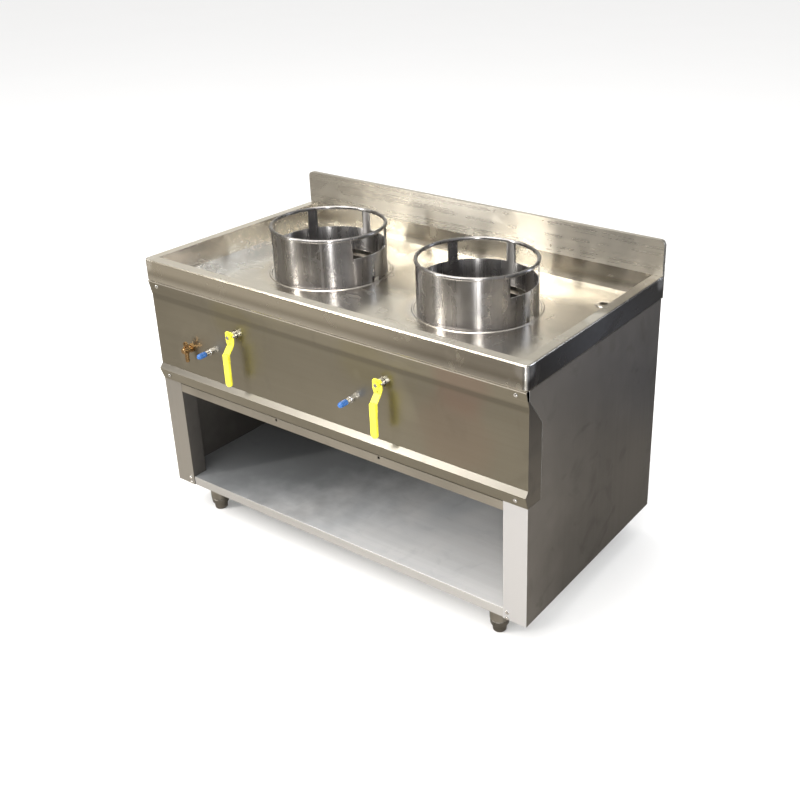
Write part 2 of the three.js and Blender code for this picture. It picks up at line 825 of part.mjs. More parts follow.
// Leg: a round sleeve on a square plate. A tapered foot turns out of it on a threaded stem.
function leg(name, x, y) {
  const plateTop = FOOT_H - GAP;
  const sleeveLow = FOOT_H - LEG_PLATE_T - GAP - LEG_SLEEVE;
  const half = LEG_PLATE / 2;
  const bore = FOOT_STEM_R + RUN_GAP;
  const sleeve = turned(
    'z',
    [
      [bore, sleeveLow],
      [LEG_R - 1, sleeveLow],
      [LEG_R, sleeveLow + 1],
      [LEG_R, plateTop - LEG_PLATE_T + GAP],
      [LEG_R - LEG_BORE_WALL, plateTop - LEG_PLATE_T + GAP],
      [LEG_R - LEG_BORE_WALL, sleeveLow + SCREW_T * 3],
      [bore, sleeveLow + SCREW_T * 3],
    ],
    ROUND,
  );
  const plate = cut(
    box(-half, half, -half, half, plateTop - LEG_PLATE_T, plateTop),
    disc('z', LEG_R - LEG_BORE_WALL, 0, FOOT_H + GAP, ROUND),
  );
  place(`leg_${name}`, join(sleeve, plate), darkSteel, x, y);
  const footTop = sleeveLow - GAP;
  const foot = turned(
    'z',
    [
      [0, 0],
      [FOOT_R - 2, 0],
      [FOOT_R, 2],
      [FOOT_R + 1, footTop * 0.25],
      [LEG_R - 3, footTop * 0.75],
      [LEG_R - 1, footTop - 2],
      [LEG_R - 2, footTop],
      [FOOT_STEM_R, footTop],
      [FOOT_STEM_R, footTop + FOOT_STEM_L],
      [0, footTop + FOOT_STEM_L],
    ],
    ROUND,
  );
  place(`foot_${name}`, foot, darkSteel, x, y);
}

// Wok ring: a rolled band with a round bar on top. Four windows open its sides and back; the
// front stays closed to shield the cook.
function wokRing(name, side) {
  const low = DECK_Z + GAP;
  const barZ = RIM_Z + RING_RISE - RING_BAR;
  const inner = RING_R - RING_WALL;
  const wall = tubeWall('z', RING_R, inner, low, barZ, SMOOTH);
  const windowTop = barZ - RING_BAR * 0.6;
  const windows = Array.from({ length: WINDOW_COUNT }, (_, i) => {
    const middle = (i * POST_PITCH * Math.PI) / 180;
    const spread = (WINDOW_ARC * Math.PI) / 360;
    const reach = RING_R * 1.2;
    const wedge = Array.from({ length: 7 }, (__, k) => {
      const turn = middle - spread + (k * spread) / 3;
      return [reach * Math.cos(turn), reach * Math.sin(turn)];
    });
    const start = [inner * 0.8 * Math.cos(middle), inner * 0.8 * Math.sin(middle)];
    const near = [-1, 1].map((end) => [
      inner * 0.9 * Math.cos(middle + end * spread),
      inner * 0.9 * Math.sin(middle + end * spread),
    ]);
    return prism('z', polygon([start, near[0], ...wedge, near[1]]), windowTop - WINDOW_H, windowTop);
  });
  const barR = RING_R - RING_WALL / 2;
  const bar = turned(
    'z',
    Array.from({ length: 6 }, (_, i) => {
      const turn = (i * Math.PI) / 3;
      return [barR + RING_BAR * Math.cos(turn), barZ + RING_BAR * Math.sin(turn)];
    }),
    SMOOTH,
  );
  place(`wok_ring_${name}`, join(cut(wall, ...windows), bar), polished, side * RING_X, RING_Y);
}

// Burner well: the fire chamber that hangs under each hole of the worktop.
function burnerWell(name, side) {
  const top = DECK_Z - TOP_SHEET - GAP;
  const low = top - WELL_DEPTH;
  const profile = [
    [WELL_R - SHEET - WELL_LIP, low],
    [WELL_R, low],
    [WELL_R, top - SHEET],
    [WELL_R + WELL_FLANGE, top - SHEET],
    [WELL_R + WELL_FLANGE, top],
    [WELL_R - SHEET, top],
    [WELL_R - SHEET, low + SHEET],
    [WELL_R - SHEET - WELL_LIP, low + SHEET],
  ];
  place(`burner_well_${name}`, turned('z', profile, SMOOTH - 8), darkSteel, side * RING_X, RING_Y);
}

// Burner: a cast head with two rings of jets, its mixing tube and the strap that carries it.
function burner(name, side) {
  const x = side * RING_X;
  const hubLow = VALVE_Z - MIX_R - 6;
  const hubTop = VALVE_Z + MIX_R + 6;
  const profile = [
    [0, hubLow],
    [HUB_R - 4, hubLow],
    [HUB_R, hubLow + 4],
    [HUB_R, hubTop],
    [BURNER_R - 14, BURNER_Z - 26],
    [BURNER_R - 2, BURNER_Z - 18],
    [BURNER_R, BURNER_Z - 8],
    [BURNER_R - 4, BURNER_Z],
    [JET_RING_R - 12, BURNER_Z],
    [JET_RING_R - 16, BURNER_Z - 7],
    [INNER_JET_R + 8, BURNER_Z - 7],
    [INNER_JET_R + 4, BURNER_Z],
    [10, BURNER_Z + 2],
    [0, BURNER_Z + 3],
  ];
  const jets = [
    [JET_COUNT, JET_RING_R + 3],
    [INNER_JET_COUNT, INNER_JET_R - 6],
  ].flatMap(([count, ring]) =>
    Array.from({ length: count }, (_, i) => {
      const turn = (2 * Math.PI * i) / count;
      return turned(
        'z',
        [
          [0, BURNER_Z - 3],
          [JET_R, BURNER_Z - 3],
          [JET_R * 0.7, BURNER_Z + JET_H],
          [0, BURNER_Z + JET_H],
        ],
        6,
      ).translate(ring * Math.cos(turn), ring * Math.sin(turn), 0);
    }),
  );
  const socket = disc('y', MIX_R + GAP, -BURNER_R, -HUB_R + 16, ROUND).translate(0, 0, VALVE_Z);
  const head = cut(join(turned('z', profile, 24), ...jets), socket);
  place(`burner_head_${name}`, head, castIron, x, RING_Y);

  const mouth = VALVE_Y + BELL_GAP;
  const seat = RING_Y - HUB_R + 16 - GAP;
  const tube = turned(
    'y',
    [
      [MIX_BORE, seat],
      [MIX_BORE, mouth + 34],
      [BELL_R - 4, mouth],
      [BELL_R, mouth],
      [BELL_R, mouth + 6],
      [MIX_R, mouth + 40],
      [MIX_R, seat],
    ],
    ROUND,
  );
  place(`mixing_tube_${name}`, tube, castIron, x, 0, VALVE_Z);

  const floor = TRAY_Z + SHEET + GAP;
  const head0 = hubLow - GAP;
  const span = AIR_HOLE_R + 10;
  const strap = folded(
    [
      [span + BRACKET_FOOT, floor],
      [span, floor],
      [BRACKET_SPAN / 2, head0 - BRACKET_T],
      [-BRACKET_SPAN / 2, head0 - BRACKET_T],
      [-span, floor],
      [-span - BRACKET_FOOT, floor],
    ].map(([a, b]) => [b, a]),
    BRACKET_T,
  );
  const bracket = prism('y', strap, -BRACKET_W / 2, BRACKET_W / 2);
  place(`burner_bracket_${name}`, bracket, darkSteel, x, RING_Y);
}

// Gas manifold: a pipe behind the panel with a riser to each valve, fed through the back.
function gasManifold() {
  const left = knobX(SIDES.left) - MANIFOLD_CAP;
  const main = pipe(
    [
      [left, VALVE_Y, MANIFOLD_Z],
      [INLET_X, VALVE_Y, MANIFOLD_Z],
      [INLET_X, RANGE_D, MANIFOLD_Z],
    ],
    MANIFOLD_R,
    MANIFOLD_BEND,
    16,
  );
  const risers = Object.values(SIDES).map((side) => {
    const end = valveX(side) - VALVE_HALF - GAP;
    const x = end - RISER_BEND - 3;
    return pipe(
      [
        [x, VALVE_Y, MANIFOLD_Z + MANIFOLD_R / 2],
        [x, VALVE_Y, VALVE_Z],
        [end, VALVE_Y, VALVE_Z],
      ],
      RISER_R,
      RISER_BEND,
      12,
    );
  });
  const bore = disc('y', INLET_BORE, RANGE_D - 30, RANGE_D + GAP, ROUND);
  place(
    'gas_manifold',
    cut(join(main, ...risers), bore.translate(INLET_X, 0, MANIFOLD_Z)),
    pipeSteel,
  );
}

// Ball valve behind the panel, its stem, the cranked lever in front and the nut that holds it.
function ballValve(name, side) {
  const x = valveX(side);
  const hex = (from, to) => disc('x', VALVE_R, from, to, 6);
  const barrel = turned(
    'x',
    [
      [0, -VALVE_HALF + 6],
      [VALVE_R * 0.8, -VALVE_HALF + 6],
      [VALVE_R * 1.15, -12],
      [VALVE_R * 1.15, 12],
      [VALVE_R * 0.8, VALVE_HALF - 6],
      [0, VALVE_HALF - 6],
    ],
    16,
  );
  const boreEnd = -VALVE_R * 0.6;
  const gland = disc('y', GLAND_R, GLAND_Y - VALVE_Y, -VALVE_R * 0.5, 16);
  const bore = disc('y', STEM_R + RUN_GAP, GLAND_Y - VALVE_Y - GAP, boreEnd, ROUND);
  const body = cut(
    join(barrel, hex(-VALVE_HALF, -VALVE_HALF + 16), hex(VALVE_HALF - 16, VALVE_HALF), gland),
    bore,
  );
  place(`valve_body_${name}`, body, chrome, x, VALVE_Y, VALVE_Z);

  const nutBack = LEVER_Y - LEVER_T - GAP;
  const stemEnd = nutBack - LEVER_NUT_T - 2;
  const stem = disc('y', STEM_R, stemEnd, VALVE_Y + boreEnd - GAP, ROUND);
  place(`valve_stem_${name}`, stem, chrome, x, 0, VALVE_Z);
  place(`valve_lever_${name}`, lever(), yellow, x, LEVER_Y, VALVE_Z);
  const nut = cut(
    disc('y', LEVER_NUT_R, -LEVER_NUT_T, 0, 6),
    disc('y', STEM_R + RUN_GAP, -LEVER_NUT_T - GAP, GAP, ROUND),
  );
  place(`lever_nut_${name}`, nut, chrome, x, nutBack, VALVE_Z);

  const start = VALVE_HALF + GAP;
  const end = VALVE_Y + BELL_GAP - 4;
  const run = pipe(
    [
      [x + start, VALVE_Y, VALVE_Z],
      [side * RING_X, VALVE_Y, VALVE_Z],
      [side * RING_X, end, VALVE_Z],
    ],
    OUTLET_R,
    OUTLET_BEND,
    12,
  );
  const injector = disc('y', INJECTOR_R, end - 6, end + INJECTOR_L, SMALL);
  place(
    `gas_pipe_${name}`,
    join(run, injector.translate(side * RING_X, 0, VALVE_Z)),
    pipeSteel,
  );
}

// Lever: a flat hub with a stop notch, a crank outwards and a rounded, sleeved grip hanging down.
function lever() {
  const half = LEVER_W / 2;
  const waist = GRIP_W / 2;
  const hub = polygon([
    [LEVER_HEAD, -half + 5],
    [LEVER_HEAD, half - 5],
    [LEVER_HEAD - 5, half],
    [-LEVER_HUB_L / 2, half],
    [-LEVER_HUB_L, waist],
    [-LEVER_HUB_L, -waist],
    [-LEVER_HUB_L / 2, -half],
    [LEVER_HEAD - 5, -half],
  ]);
  const crank = folded(
    [
      [0, -LEVER_HUB_L + LEVER_T],
      [0, -LEVER_HUB_L],
      [-CRANK_OUT, -LEVER_HUB_L - CRANK_L],
      [-CRANK_OUT, -LEVER_HUB_L - CRANK_L - GRIP_W],
    ],
    -LEVER_T,
  );
  const round = (waist - GRIP_BEVEL) * 0.9;
  const sleeve = roundedRect(
    -LEVER_L + GRIP_BEVEL,
    -LEVER_HUB_L - CRANK_L,
    -waist + GRIP_BEVEL,
    waist - GRIP_BEVEL,
    [round, GRIP_BEVEL, GRIP_BEVEL, round],
  );
  const grip = prism('y', sleeve, -CRANK_OUT - GRIP_T + GRIP_BEVEL, -CRANK_OUT - GRIP_BEVEL, {
    bevelEnabled: true,
    bevelSize: GRIP_BEVEL,
    bevelThickness: GRIP_BEVEL,
    bevelSegments: 2,
    curveSegments: 5,
  });
  const hole = disc('y', STEM_R + RUN_GAP, -LEVER_T - GAP, GAP, ROUND);
  const notch = box(half - STOP_NOTCH, half + GAP, -LEVER_T - GAP, GAP, 0, STOP_NOTCH);
  const eye = disc('y', EYE_R, -LEVER_T - GAP, GAP, SMALL).translate(0, 0, -EYE_DROP);
  return cut(
    join(prism('y', hub, -LEVER_T, 0), prism('x', crank, -waist, waist), grip),
    hole,
    notch,
    eye,
  );
}

// Pilot cock: a barrel tapped into the manifold that pokes through the panel, its knob and the
// small tube that carries gas to the burner.
function pilotCock(name, side) {
  const x = knobX(side);
  const back = VALVE_Y - MANIFOLD_R - GAP;
  const front = FACE_Y - PILOT_REACH;
  const nutBack = FACE_Y - GAP;
  const body = cut(
    join(
      disc('y', PILOT_R, front, back, ROUND),
      disc('y', PILOT_NUT_R, nutBack - PILOT_NUT_T, nutBack, 6),
    ),
    disc('y', PILOT_SPINDLE_R + RUN_GAP, front - GAP, front + SPINDLE_L + 2, SMALL),
  );
  place(`pilot_valve_${name}`, body, chrome, x, 0, MANIFOLD_Z);

  const flutes = Array.from({ length: KNOB_FLUTES }, (_, i) => {
    const turn = (2 * Math.PI * (i + 0.5)) / KNOB_FLUTES;
    const groove = disc('y', 2.2, -KNOB_L * 0.8, -3, 8);
    return groove.translate((KNOB_R + 1.2) * Math.cos(turn), 0, (KNOB_R + 1.2) * Math.sin(turn));
  });
  const cap = turned(
    'y',
    [
      [0, -KNOB_L],
      [KNOB_R * 0.55, -KNOB_L],
      [KNOB_R * 0.9, -KNOB_L + 3],
      [KNOB_R, -KNOB_L + 7],
      [KNOB_R, -2],
      [KNOB_R * 0.85, 0],
      [PILOT_SPINDLE_R, 0],
      [PILOT_SPINDLE_R, SPINDLE_L],
      [0, SPINDLE_L],
    ],
    ROUND,
  );
  place(`pilot_knob_${name}`, cut(cap, ...flutes), blue, x, front - GAP, MANIFOLD_Z);

  const low = MANIFOLD_Z - PILOT_DIP;
  const start = (FACE_Y + SHEET + back) / 2;
  const rise = RING_Y - BURNER_R - 12;
  const riseX = side * RING_X - MIX_R - PILOT_GAP;
  const tube = pipe(
    [
      [x, start, MANIFOLD_Z - PILOT_R - GAP],
      [x, start, low],
      [x, rise - 60, low],
      [riseX, rise, low],
      [riseX, rise, BURNER_Z - 4],
    ],
    PILOT_TUBE_R,
    PILOT_TUBE_BEND,
    6,
  );
  place(`pilot_tube_${name}`, tube, copper);
}

// Water cock: a brass barrel on the panel with a spout and a flat key with an eye.
function waterCock() {
  const front = FACE_Y - COCK_REACH;
  const flangeBack = FACE_Y - GAP;
  const middle = FACE_Y - COCK_REACH * 0.6;
  const pipeFront = FACE_Y + SHEET + 18;
  const keyHole = KEY_STEM_R + RUN_GAP;
  const top = COCK_BARREL_R;
  const body = cut(
    join(
      disc('y', COCK_R, middle, pipeFront - GAP, ROUND),
      disc('y', COCK_FLANGE_R, flangeBack - COCK_FLANGE_T, flangeBack, 6),
      turned(
        'y',
        [
          [0, front],
          [COCK_R - 2, front],
          [COCK_R, front + 2],
          [COCK_R, middle + 4],
          [0, middle + 4],
        ],
        ROUND,
      ),
      disc('z', COCK_BARREL_R * 0.8, -COCK_BARREL_R, top, ROUND).translate(0, middle, 0),
      turned(
        'z',
        [
          [0, -COCK_R - SPOUT_L],
          [SPOUT_R * 0.8, -COCK_R - SPOUT_L],
          [SPOUT_R, -COCK_R - SPOUT_L + 3],
          [SPOUT_R, -COCK_R],
          [SPOUT_R + 2, 0],
          [0, 0],
        ],
        ROUND,
      ).translate(0, middle, 0),
    ),
    disc('z', keyHole, -COCK_R * 0.5, top + GAP, ROUND).translate(0, middle, 0),
    disc('z', SPOUT_R - 2, -COCK_R - SPOUT_L - GAP, -COCK_R - SPOUT_L + 12, ROUND).translate(
      0,
      middle,
      0,
    ),
  );
  place('water_cock', body, brass, COCK_X, 0, COCK_Z);

  const eyeZ = top + GAP + KEY_R;
  const blade = prism('y', circleShape(KEY_R, eyeZ), -KEY_T / 2, KEY_T / 2);
  const key = cut(
    join(blade, disc('z', KEY_STEM_R, -COCK_R * 0.5 + GAP, eyeZ - KEY_R / 2, ROUND)),
    disc('y', KEY_EYE, -KEY_T, KEY_T, ROUND).translate(0, 0, eyeZ + 1),
  );
  place('water_cock_key', key, brass, COCK_X, middle, COCK_Z);

  const feed = disc('y', WATER_R, pipeFront, RANGE_D, ROUND);
  const bore = disc('y', WATER_R - 2, RANGE_D - 20, RANGE_D + GAP, ROUND);
  place('water_pipe', cut(feed, bore), copper, COCK_X, 0, COCK_Z);
}

// A circle for prism('y'), centred on the axis at height z.
function circleShape(radius, z) {
  return polygon(
    Array.from({ length: ROUND }, (_, i) => {
      const turn = (2 * Math.PI * i) / ROUND;
      return [z + radius * Math.cos(turn), radius * Math.sin(turn)];
    }),
  );
}

// Drain: a lift-out strainer in the deck and the waste pipe under it.
function drain() {
  const seat = DECK_Z + GAP;
  const cupR = DRAIN_PIPE_BORE - GAP * 2;
  const basket = turned(
    'z',
    [
      [0, seat - STRAINER_CUP],
      [cupR, seat - STRAINER_CUP],
      [cupR, seat],
      [STRAINER_R, seat],
      [STRAINER_R - 1.5, seat + STRAINER_T],
      [cupR - STRAINER_WALL, seat + STRAINER_T],
      [cupR - STRAINER_WALL, seat - STRAINER_CUP + STRAINER_WALL],
      [0, seat - STRAINER_CUP + STRAINER_WALL],
    ],
    ROUND,
  );
  const slots = Array.from({ length: 7 }, (_, i) => {
    const turn = (2 * Math.PI * i) / 6;
    const ring = i === 6 ? 0 : 7;
    return disc('z', 2, seat - STRAINER_CUP - GAP, seat - STRAINER_CUP + 2 * GAP + STRAINER_WALL, 8)
      .translate(ring * Math.cos(turn), ring * Math.sin(turn), 0);
  });
  place('drain_strainer', cut(basket, ...slots), polished, DRAIN_X, DRAIN_Y);

  const top = DECK_Z - TOP_SHEET - GAP;
  const route = [
    [DRAIN_X, DRAIN_Y, top],
    [DRAIN_X, DRAIN_Y, DRAIN_Z],
    [DRAIN_X, RANGE_D, DRAIN_Z],
  ];
  const beyond = [
    [DRAIN_X, DRAIN_Y, top + GAP],
    [DRAIN_X, DRAIN_Y, DRAIN_Z],
    [DRAIN_X, RANGE_D + GAP, DRAIN_Z],
  ];
  const flange = disc('z', DRAIN_FLANGE_R, top - 3, top, ROUND).translate(DRAIN_X, DRAIN_Y, 0);
  place(
    'drain_pipe',
    cut(
      join(pipe(route, DRAIN_PIPE_R, DRAIN_BEND, 16), flange),
      pipe(beyond, DRAIN_PIPE_BORE, DRAIN_BEND, 16),
    ),
    pipeSteel,
  );
}

// A pan-head screw pointing back along +Y from the face it holds.
function screw(name, x, y, z, tilt = 0) {
  const geometry = turned(
    'y',
    [
      [0, -SCREW_T - GAP],
      [SCREW_R * 0.6, -SCREW_T - GAP],
      [SCREW_R, -SCREW_T / 2 - GAP],
      [SCREW_R, -GAP],
      [SHANK_R, -GAP],
      [SHANK_R, SHANK_L],
      [0, SHANK_L],
    ],
    SMALL,
  );
  const mesh = place(name, geometry, chrome, x, y, z);
  mesh.rotation.x = tilt;
}

// Corner screws of the panel sit square to the sloped band and to the underside of the bead.
function panelScrews() {
  const rows = [
    { row: 'top', a: [PANEL_TOP_Y, SKIRT_Z - GAP], b: [FACE_Y, SKIRT_Z - GAP - BAND_H], at: 1 / 3 },
    { row: 'low', a: [BEAD_TIP_Y, RIM_Z - BEAD_TIP], b: [FACE_Y, PANEL_END], at: 1 / 2 },
  ];
  return rows.flatMap(({ row, a, b, at }) =>
    Object.entries(SIDES).map(([name, side]) => ({
      name: `panel_screw_${row}_${name}`,
      x: side * (SIDE_X - SCREW_X),
      y: a[0] + (b[0] - a[0]) * at,
      z: a[1] + (b[1] - a[1]) * at,
      tilt: Math.atan2(b[0] - a[0], a[1] - b[1]),
    })),
  );
}

function baseScrews() {
  const middle = FOOT_H + SHELF_H / 2;
  return [-1, 1].map((end) => [SIDE_X - BASE_SCREW_X, middle + (end * BASE_SCREW_PITCH) / 2]);
}

worktop();
backsplash();
backPanel();
frontPanel();
crossRail();
baseShelf();
burnerTray();
baseRails();
gasManifold();
for (const [name, side] of Object.entries(SIDES)) {
  sidePanel(`side_panel_${name}`, side);
  wokRing(name, side);
  burnerWell(name, side);
  burner(name, side);
  ballValve(name, side);
  pilotCock(name, side);
  baseScrews().forEach(([x, z], i) =>
    screw(`base_screw_${['low', 'high'][i]}_${name}`, side * x, FACE_Y, z),
  );
}
waterCock();
drain();
for (const { name, x, y, z, tilt } of panelScrews()) screw(name, x, y, z, tilt);

export default range;
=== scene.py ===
"""Finishes and fine detail for a two-burner wok range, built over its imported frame."""

import json
import math
from contextlib import contextmanager

import bmesh
import bpy
from bpy.props import FloatProperty, FloatVectorProperty, IntProperty, PointerProperty
from mathutils import Matrix, Vector

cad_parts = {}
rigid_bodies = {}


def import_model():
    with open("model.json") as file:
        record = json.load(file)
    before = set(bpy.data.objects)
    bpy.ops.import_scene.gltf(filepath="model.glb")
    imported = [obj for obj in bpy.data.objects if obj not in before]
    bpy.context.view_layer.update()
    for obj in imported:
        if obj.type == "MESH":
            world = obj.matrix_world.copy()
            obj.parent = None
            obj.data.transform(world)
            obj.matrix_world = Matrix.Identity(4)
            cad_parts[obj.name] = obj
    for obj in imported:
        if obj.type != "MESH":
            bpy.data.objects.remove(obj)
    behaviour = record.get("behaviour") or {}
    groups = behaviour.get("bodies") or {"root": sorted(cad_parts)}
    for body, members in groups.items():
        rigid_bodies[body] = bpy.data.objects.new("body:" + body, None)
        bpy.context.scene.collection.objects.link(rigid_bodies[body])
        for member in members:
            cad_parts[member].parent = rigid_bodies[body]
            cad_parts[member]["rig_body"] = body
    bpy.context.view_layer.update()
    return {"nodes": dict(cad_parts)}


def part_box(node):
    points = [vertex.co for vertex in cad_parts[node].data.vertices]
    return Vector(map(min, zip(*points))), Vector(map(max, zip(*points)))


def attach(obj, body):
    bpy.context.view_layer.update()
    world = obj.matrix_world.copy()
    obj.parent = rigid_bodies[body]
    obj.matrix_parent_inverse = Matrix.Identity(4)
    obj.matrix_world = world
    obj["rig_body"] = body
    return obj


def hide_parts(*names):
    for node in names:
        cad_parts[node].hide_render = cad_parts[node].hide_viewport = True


bl_info = {
    "name": "Wok range",
    "version": (1, 0, 0),
    "blender": (4, 5, 0),
    "location": "View3D > Sidebar > Wok range",
    "description": "Finishes and fine detail for a two-burner wok range",
    "category": "Object",
}

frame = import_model()
SIDES = ("left", "right")


# ---- Settings ----------------------------------------------------------------------------------


def size(name, description, default, unit="LENGTH"):
    return FloatProperty(
        name=name, description=description, default=default, unit=unit, precision=5
    )


def tone(name, description, default):
    return FloatVectorProperty(
        name=name, description=description, default=default, size=3, subtype="COLOR", min=0, max=1
    )


class WOK_PG_sizes(bpy.types.PropertyGroup):
    fold: size("Fold radius", "Rounding along the folded edges of the body sheets", 0.0011)
    top_fold: size("Worktop fold", "Rounding along the sharp edges of the worktop", 0.0009)
    cast_edge: size("Casting edge", "Rounding along the edges of cast and turned parts", 0.0008)
    ring_wall: size("Ring wall", "Thickness of a wok ring's band", 0.003)
    ring_bar: size("Ring bar", "Radius of the round bar on top of a wok ring", 0.005)
    window_high: size("Window height", "Height of the windows in a wok ring", 0.052)
    window_corner: size("Window corner", "Rounding in the corners of the windows", 0.0035)
    weld: size("Weld bead", "Radius of one drop of a weld seam", 0.0021)
    ring_sides: IntProperty(
        name="Ring sides", description="Faces round a wok ring", default=144, min=72, max=288
    )


class WOK_PG_colours(bpy.types.PropertyGroup):
    worktop: tone("Worktop", "Warm silver of the worktop", (0.80, 0.765, 0.695))
    splash: tone("Splash", "Sheet of the raised back", (0.50, 0.475, 0.425))
    # The front panel's tone is the steel darkened as a painted reflection of dark surroundings.
    panel: tone("Front panel", "Grey-brown of the front panel", (0.37, 0.345, 0.285))
    # The drip bead's tone is painted shade that dims its highlight.
    bead: tone("Drip bead", "Bright strip along the foot of the panel", (0.21, 0.20, 0.18))
    # The sides' tone is the steel darkened as a painted reflection of dark surroundings.
    side: tone("Sides", "Dark sheet of the sides", (0.21, 0.195, 0.178))
    # The posts are one steel in two painted tones: the left one shaded, the right one lit.
    post_left_shaded: tone("Left post", "Face of the left post", (0.36, 0.34, 0.31))
    post_right_lit: tone("Right post", "Face of the right post", (0.74, 0.74, 0.76))
    # The shelf's bright cool tone is a painted reflection of bright light.
    shelf: tone("Shelf", "Cool bright sheet of the shelf", (0.92, 0.95, 0.98))
    inside: tone("Inside", "Sheet inside the cupboard", (0.22, 0.205, 0.20))
    ring: tone("Rings", "Polished steel of the wok rings", (0.43, 0.42, 0.42))
    lever: tone("Levers", "Vinyl on the gas levers", (0.88, 0.80, 0.05))
    knob: tone("Knobs", "Plastic of the pilot knobs", (0.035, 0.14, 0.42))
    brass: tone("Brass", "Water cock and its key", (0.42, 0.27, 0.13))
    copper: tone("Copper", "Pilot tubes and water pipe", (0.60, 0.27, 0.14))
    iron: tone("Cast iron", "Burner castings", (0.045, 0.043, 0.042))
    chrome: tone("Chrome", "Nuts, valves and screws", (0.72, 0.72, 0.74))
    pipe: tone("Pipes", "Gas and waste pipes", (0.30, 0.295, 0.28))
    foot: tone("Feet", "Sleeves and feet", (0.34, 0.32, 0.29))
    floor: tone("Floor", "Studio floor", (0.985, 0.985, 0.985))


def sizes():
    return bpy.context.scene.wok_sizes


def colours():
    return bpy.context.scene.wok_colours


# ---- Shader groups -----------------------------------------------------------------------------


def node(tree, kind, inputs=None, **settings):
    """A shader node with its settings; inputs maps a socket's name or number to what feeds it."""
    made = tree.nodes.new("ShaderNode" + kind)
    for key, value in settings.items():
        setattr(made, key, value)
    for key, value in (inputs or {}).items():
        if isinstance(value, bpy.types.NodeSocket):
            tree.links.new(value, made.inputs[key])
        else:
            made.inputs[key].default_value = value
    return made


def math_node(tree, operation, *values, clamp=False):
    inputs = dict(enumerate(values))
    return node(tree, "Math", inputs, operation=operation, use_clamp=clamp).outputs[0]


def mixed(tree, factor, a, b, blend="MIX"):
    """Colour b over colour a by the factor."""
    made = node(tree, "Mix", data_type="RGBA", blend_type=blend)
    for index, value in ((0, factor), (6, a), (7, b)):
        if isinstance(value, bpy.types.NodeSocket):
            tree.links.new(value, made.inputs[index])
        else:
            made.inputs[index].default_value = value
    return made.outputs[2]


def ranged(tree, value, low, high, to_low=0.0, to_high=1.0, smooth=True):
    inputs = {"Value": value, "From Min": low, "From Max": high}
    inputs.update({"To Min": to_low, "To Max": to_high})
    kind = "SMOOTHSTEP" if smooth else "LINEAR"
    return node(tree, "MapRange", inputs, interpolation_type=kind).outputs["Result"]


def open_group(name, inputs, outputs):
    """A new node group with its sockets, its input node and its output node."""
    tree = bpy.data.node_groups.new(name, "ShaderNodeTree")
    for label, kind, default in inputs:
        socket = tree.interface.new_socket(label, in_out="INPUT", socket_type="NodeSocket" + kind)
        socket.default_value = default
    for label, kind in outputs:
        tree.interface.new_socket(label, in_out="OUTPUT", socket_type="NodeSocket" + kind)
    return tree, tree.nodes.new("NodeGroupInput"), tree.nodes.new("NodeGroupOutput")


def object_place(tree, scale=(1, 1, 1), location=(0, 0, 0)):
    """Object coordinates, stretched and moved."""
    place = node(tree, "TexCoord").outputs["Object"]
    return node(tree, "Mapping", {"Vector": place, "Scale": scale, "Location": location}).outputs[0]


def brushed_group():
    """Brushing lines: fine height and broad streaks, stretched along one direction."""
    tree, given, out = open_group(
        "Brushing",
        [("Stretch", "Vector", (4, 600, 600))],
        [("Height", "Float"), ("Streaks", "Float")],
    )
    place = object_place(tree, given.outputs["Stretch"])
    fine = node(tree, "TexNoise", {"Vector": place, "Scale": 1.0, "Detail": 4.0, "Roughness": 0.7})
    wide = {"Vector": place, "Scale": 0.13, "Detail": 5.0, "Roughness": 0.62}
    broad = node(tree, "TexNoise", wide)
    tree.links.new(fine.outputs[0], out.inputs["Height"])
    tree.links.new(ranged(tree, broad.outputs[0], 0.3, 0.7), out.inputs["Streaks"])
    return tree


def marks_group():
    """Handling marks: soft clouds, wiped smudges, hair scratches and small specks."""
    tree, given, out = open_group(
        "Handling marks",
        [("Scale", "Float", 1.0), ("Offset", "Vector", (0, 0, 0))],
        [("Cloud", "Float"), ("Smudge", "Float"), ("Scratch", "Float"), ("Speck", "Float")],
    )
    place = object_place(tree, (1, 1, 1), given.outputs["Offset"])
    spread = {0: place, "Scale": given.outputs["Scale"]}
    where = node(tree, "VectorMath", spread, operation="SCALE").outputs[0]
    soft = {"Vector": where, "Scale": 2.6, "Detail": 3.0, "Distortion": 0.4}
    cloud = node(tree, "TexNoise", soft)
    tree.links.new(ranged(tree, cloud.outputs[0], 0.3, 0.7), out.inputs["Cloud"])
    swirled = {"Vector": where, "Scale": 7.0, "Detail": 5.0, "Distortion": 1.6}
    wiped = node(tree, "TexNoise", swirled)
    tree.links.new(ranged(tree, wiped.outputs[0], 0.54, 0.74), out.inputs["Smudge"])
    hairs = []
    for turn, stretch in ((0.5, (7, 900, 7)), (-0.9, (9, 1100, 9)), (1.35, (8, 1000, 8))):
        slant = (turn * 0.3, turn * 0.2, turn)
        laid = node(tree, "Mapping", {"Vector": where, "Rotation": slant, "Scale": stretch})
        line = node(tree, "TexNoise", {"Vector": laid.outputs[0], "Scale": 1.0, "Detail": 1.0})
        hairs.append(ranged(tree, line.outputs[0], 0.735, 0.8))
    hair = math_node(tree, "MAXIMUM", math_node(tree, "MAXIMUM", hairs[0], hairs[1]), hairs[2])
    tree.links.new(hair, out.inputs["Scratch"])
    speck = node(tree, "TexVoronoi", {"Vector": where, "Scale": 60.0})
    tree.links.new(ranged(tree, speck.outputs["Distance"], 0.14, 0.05), out.inputs["Speck"])
    return tree


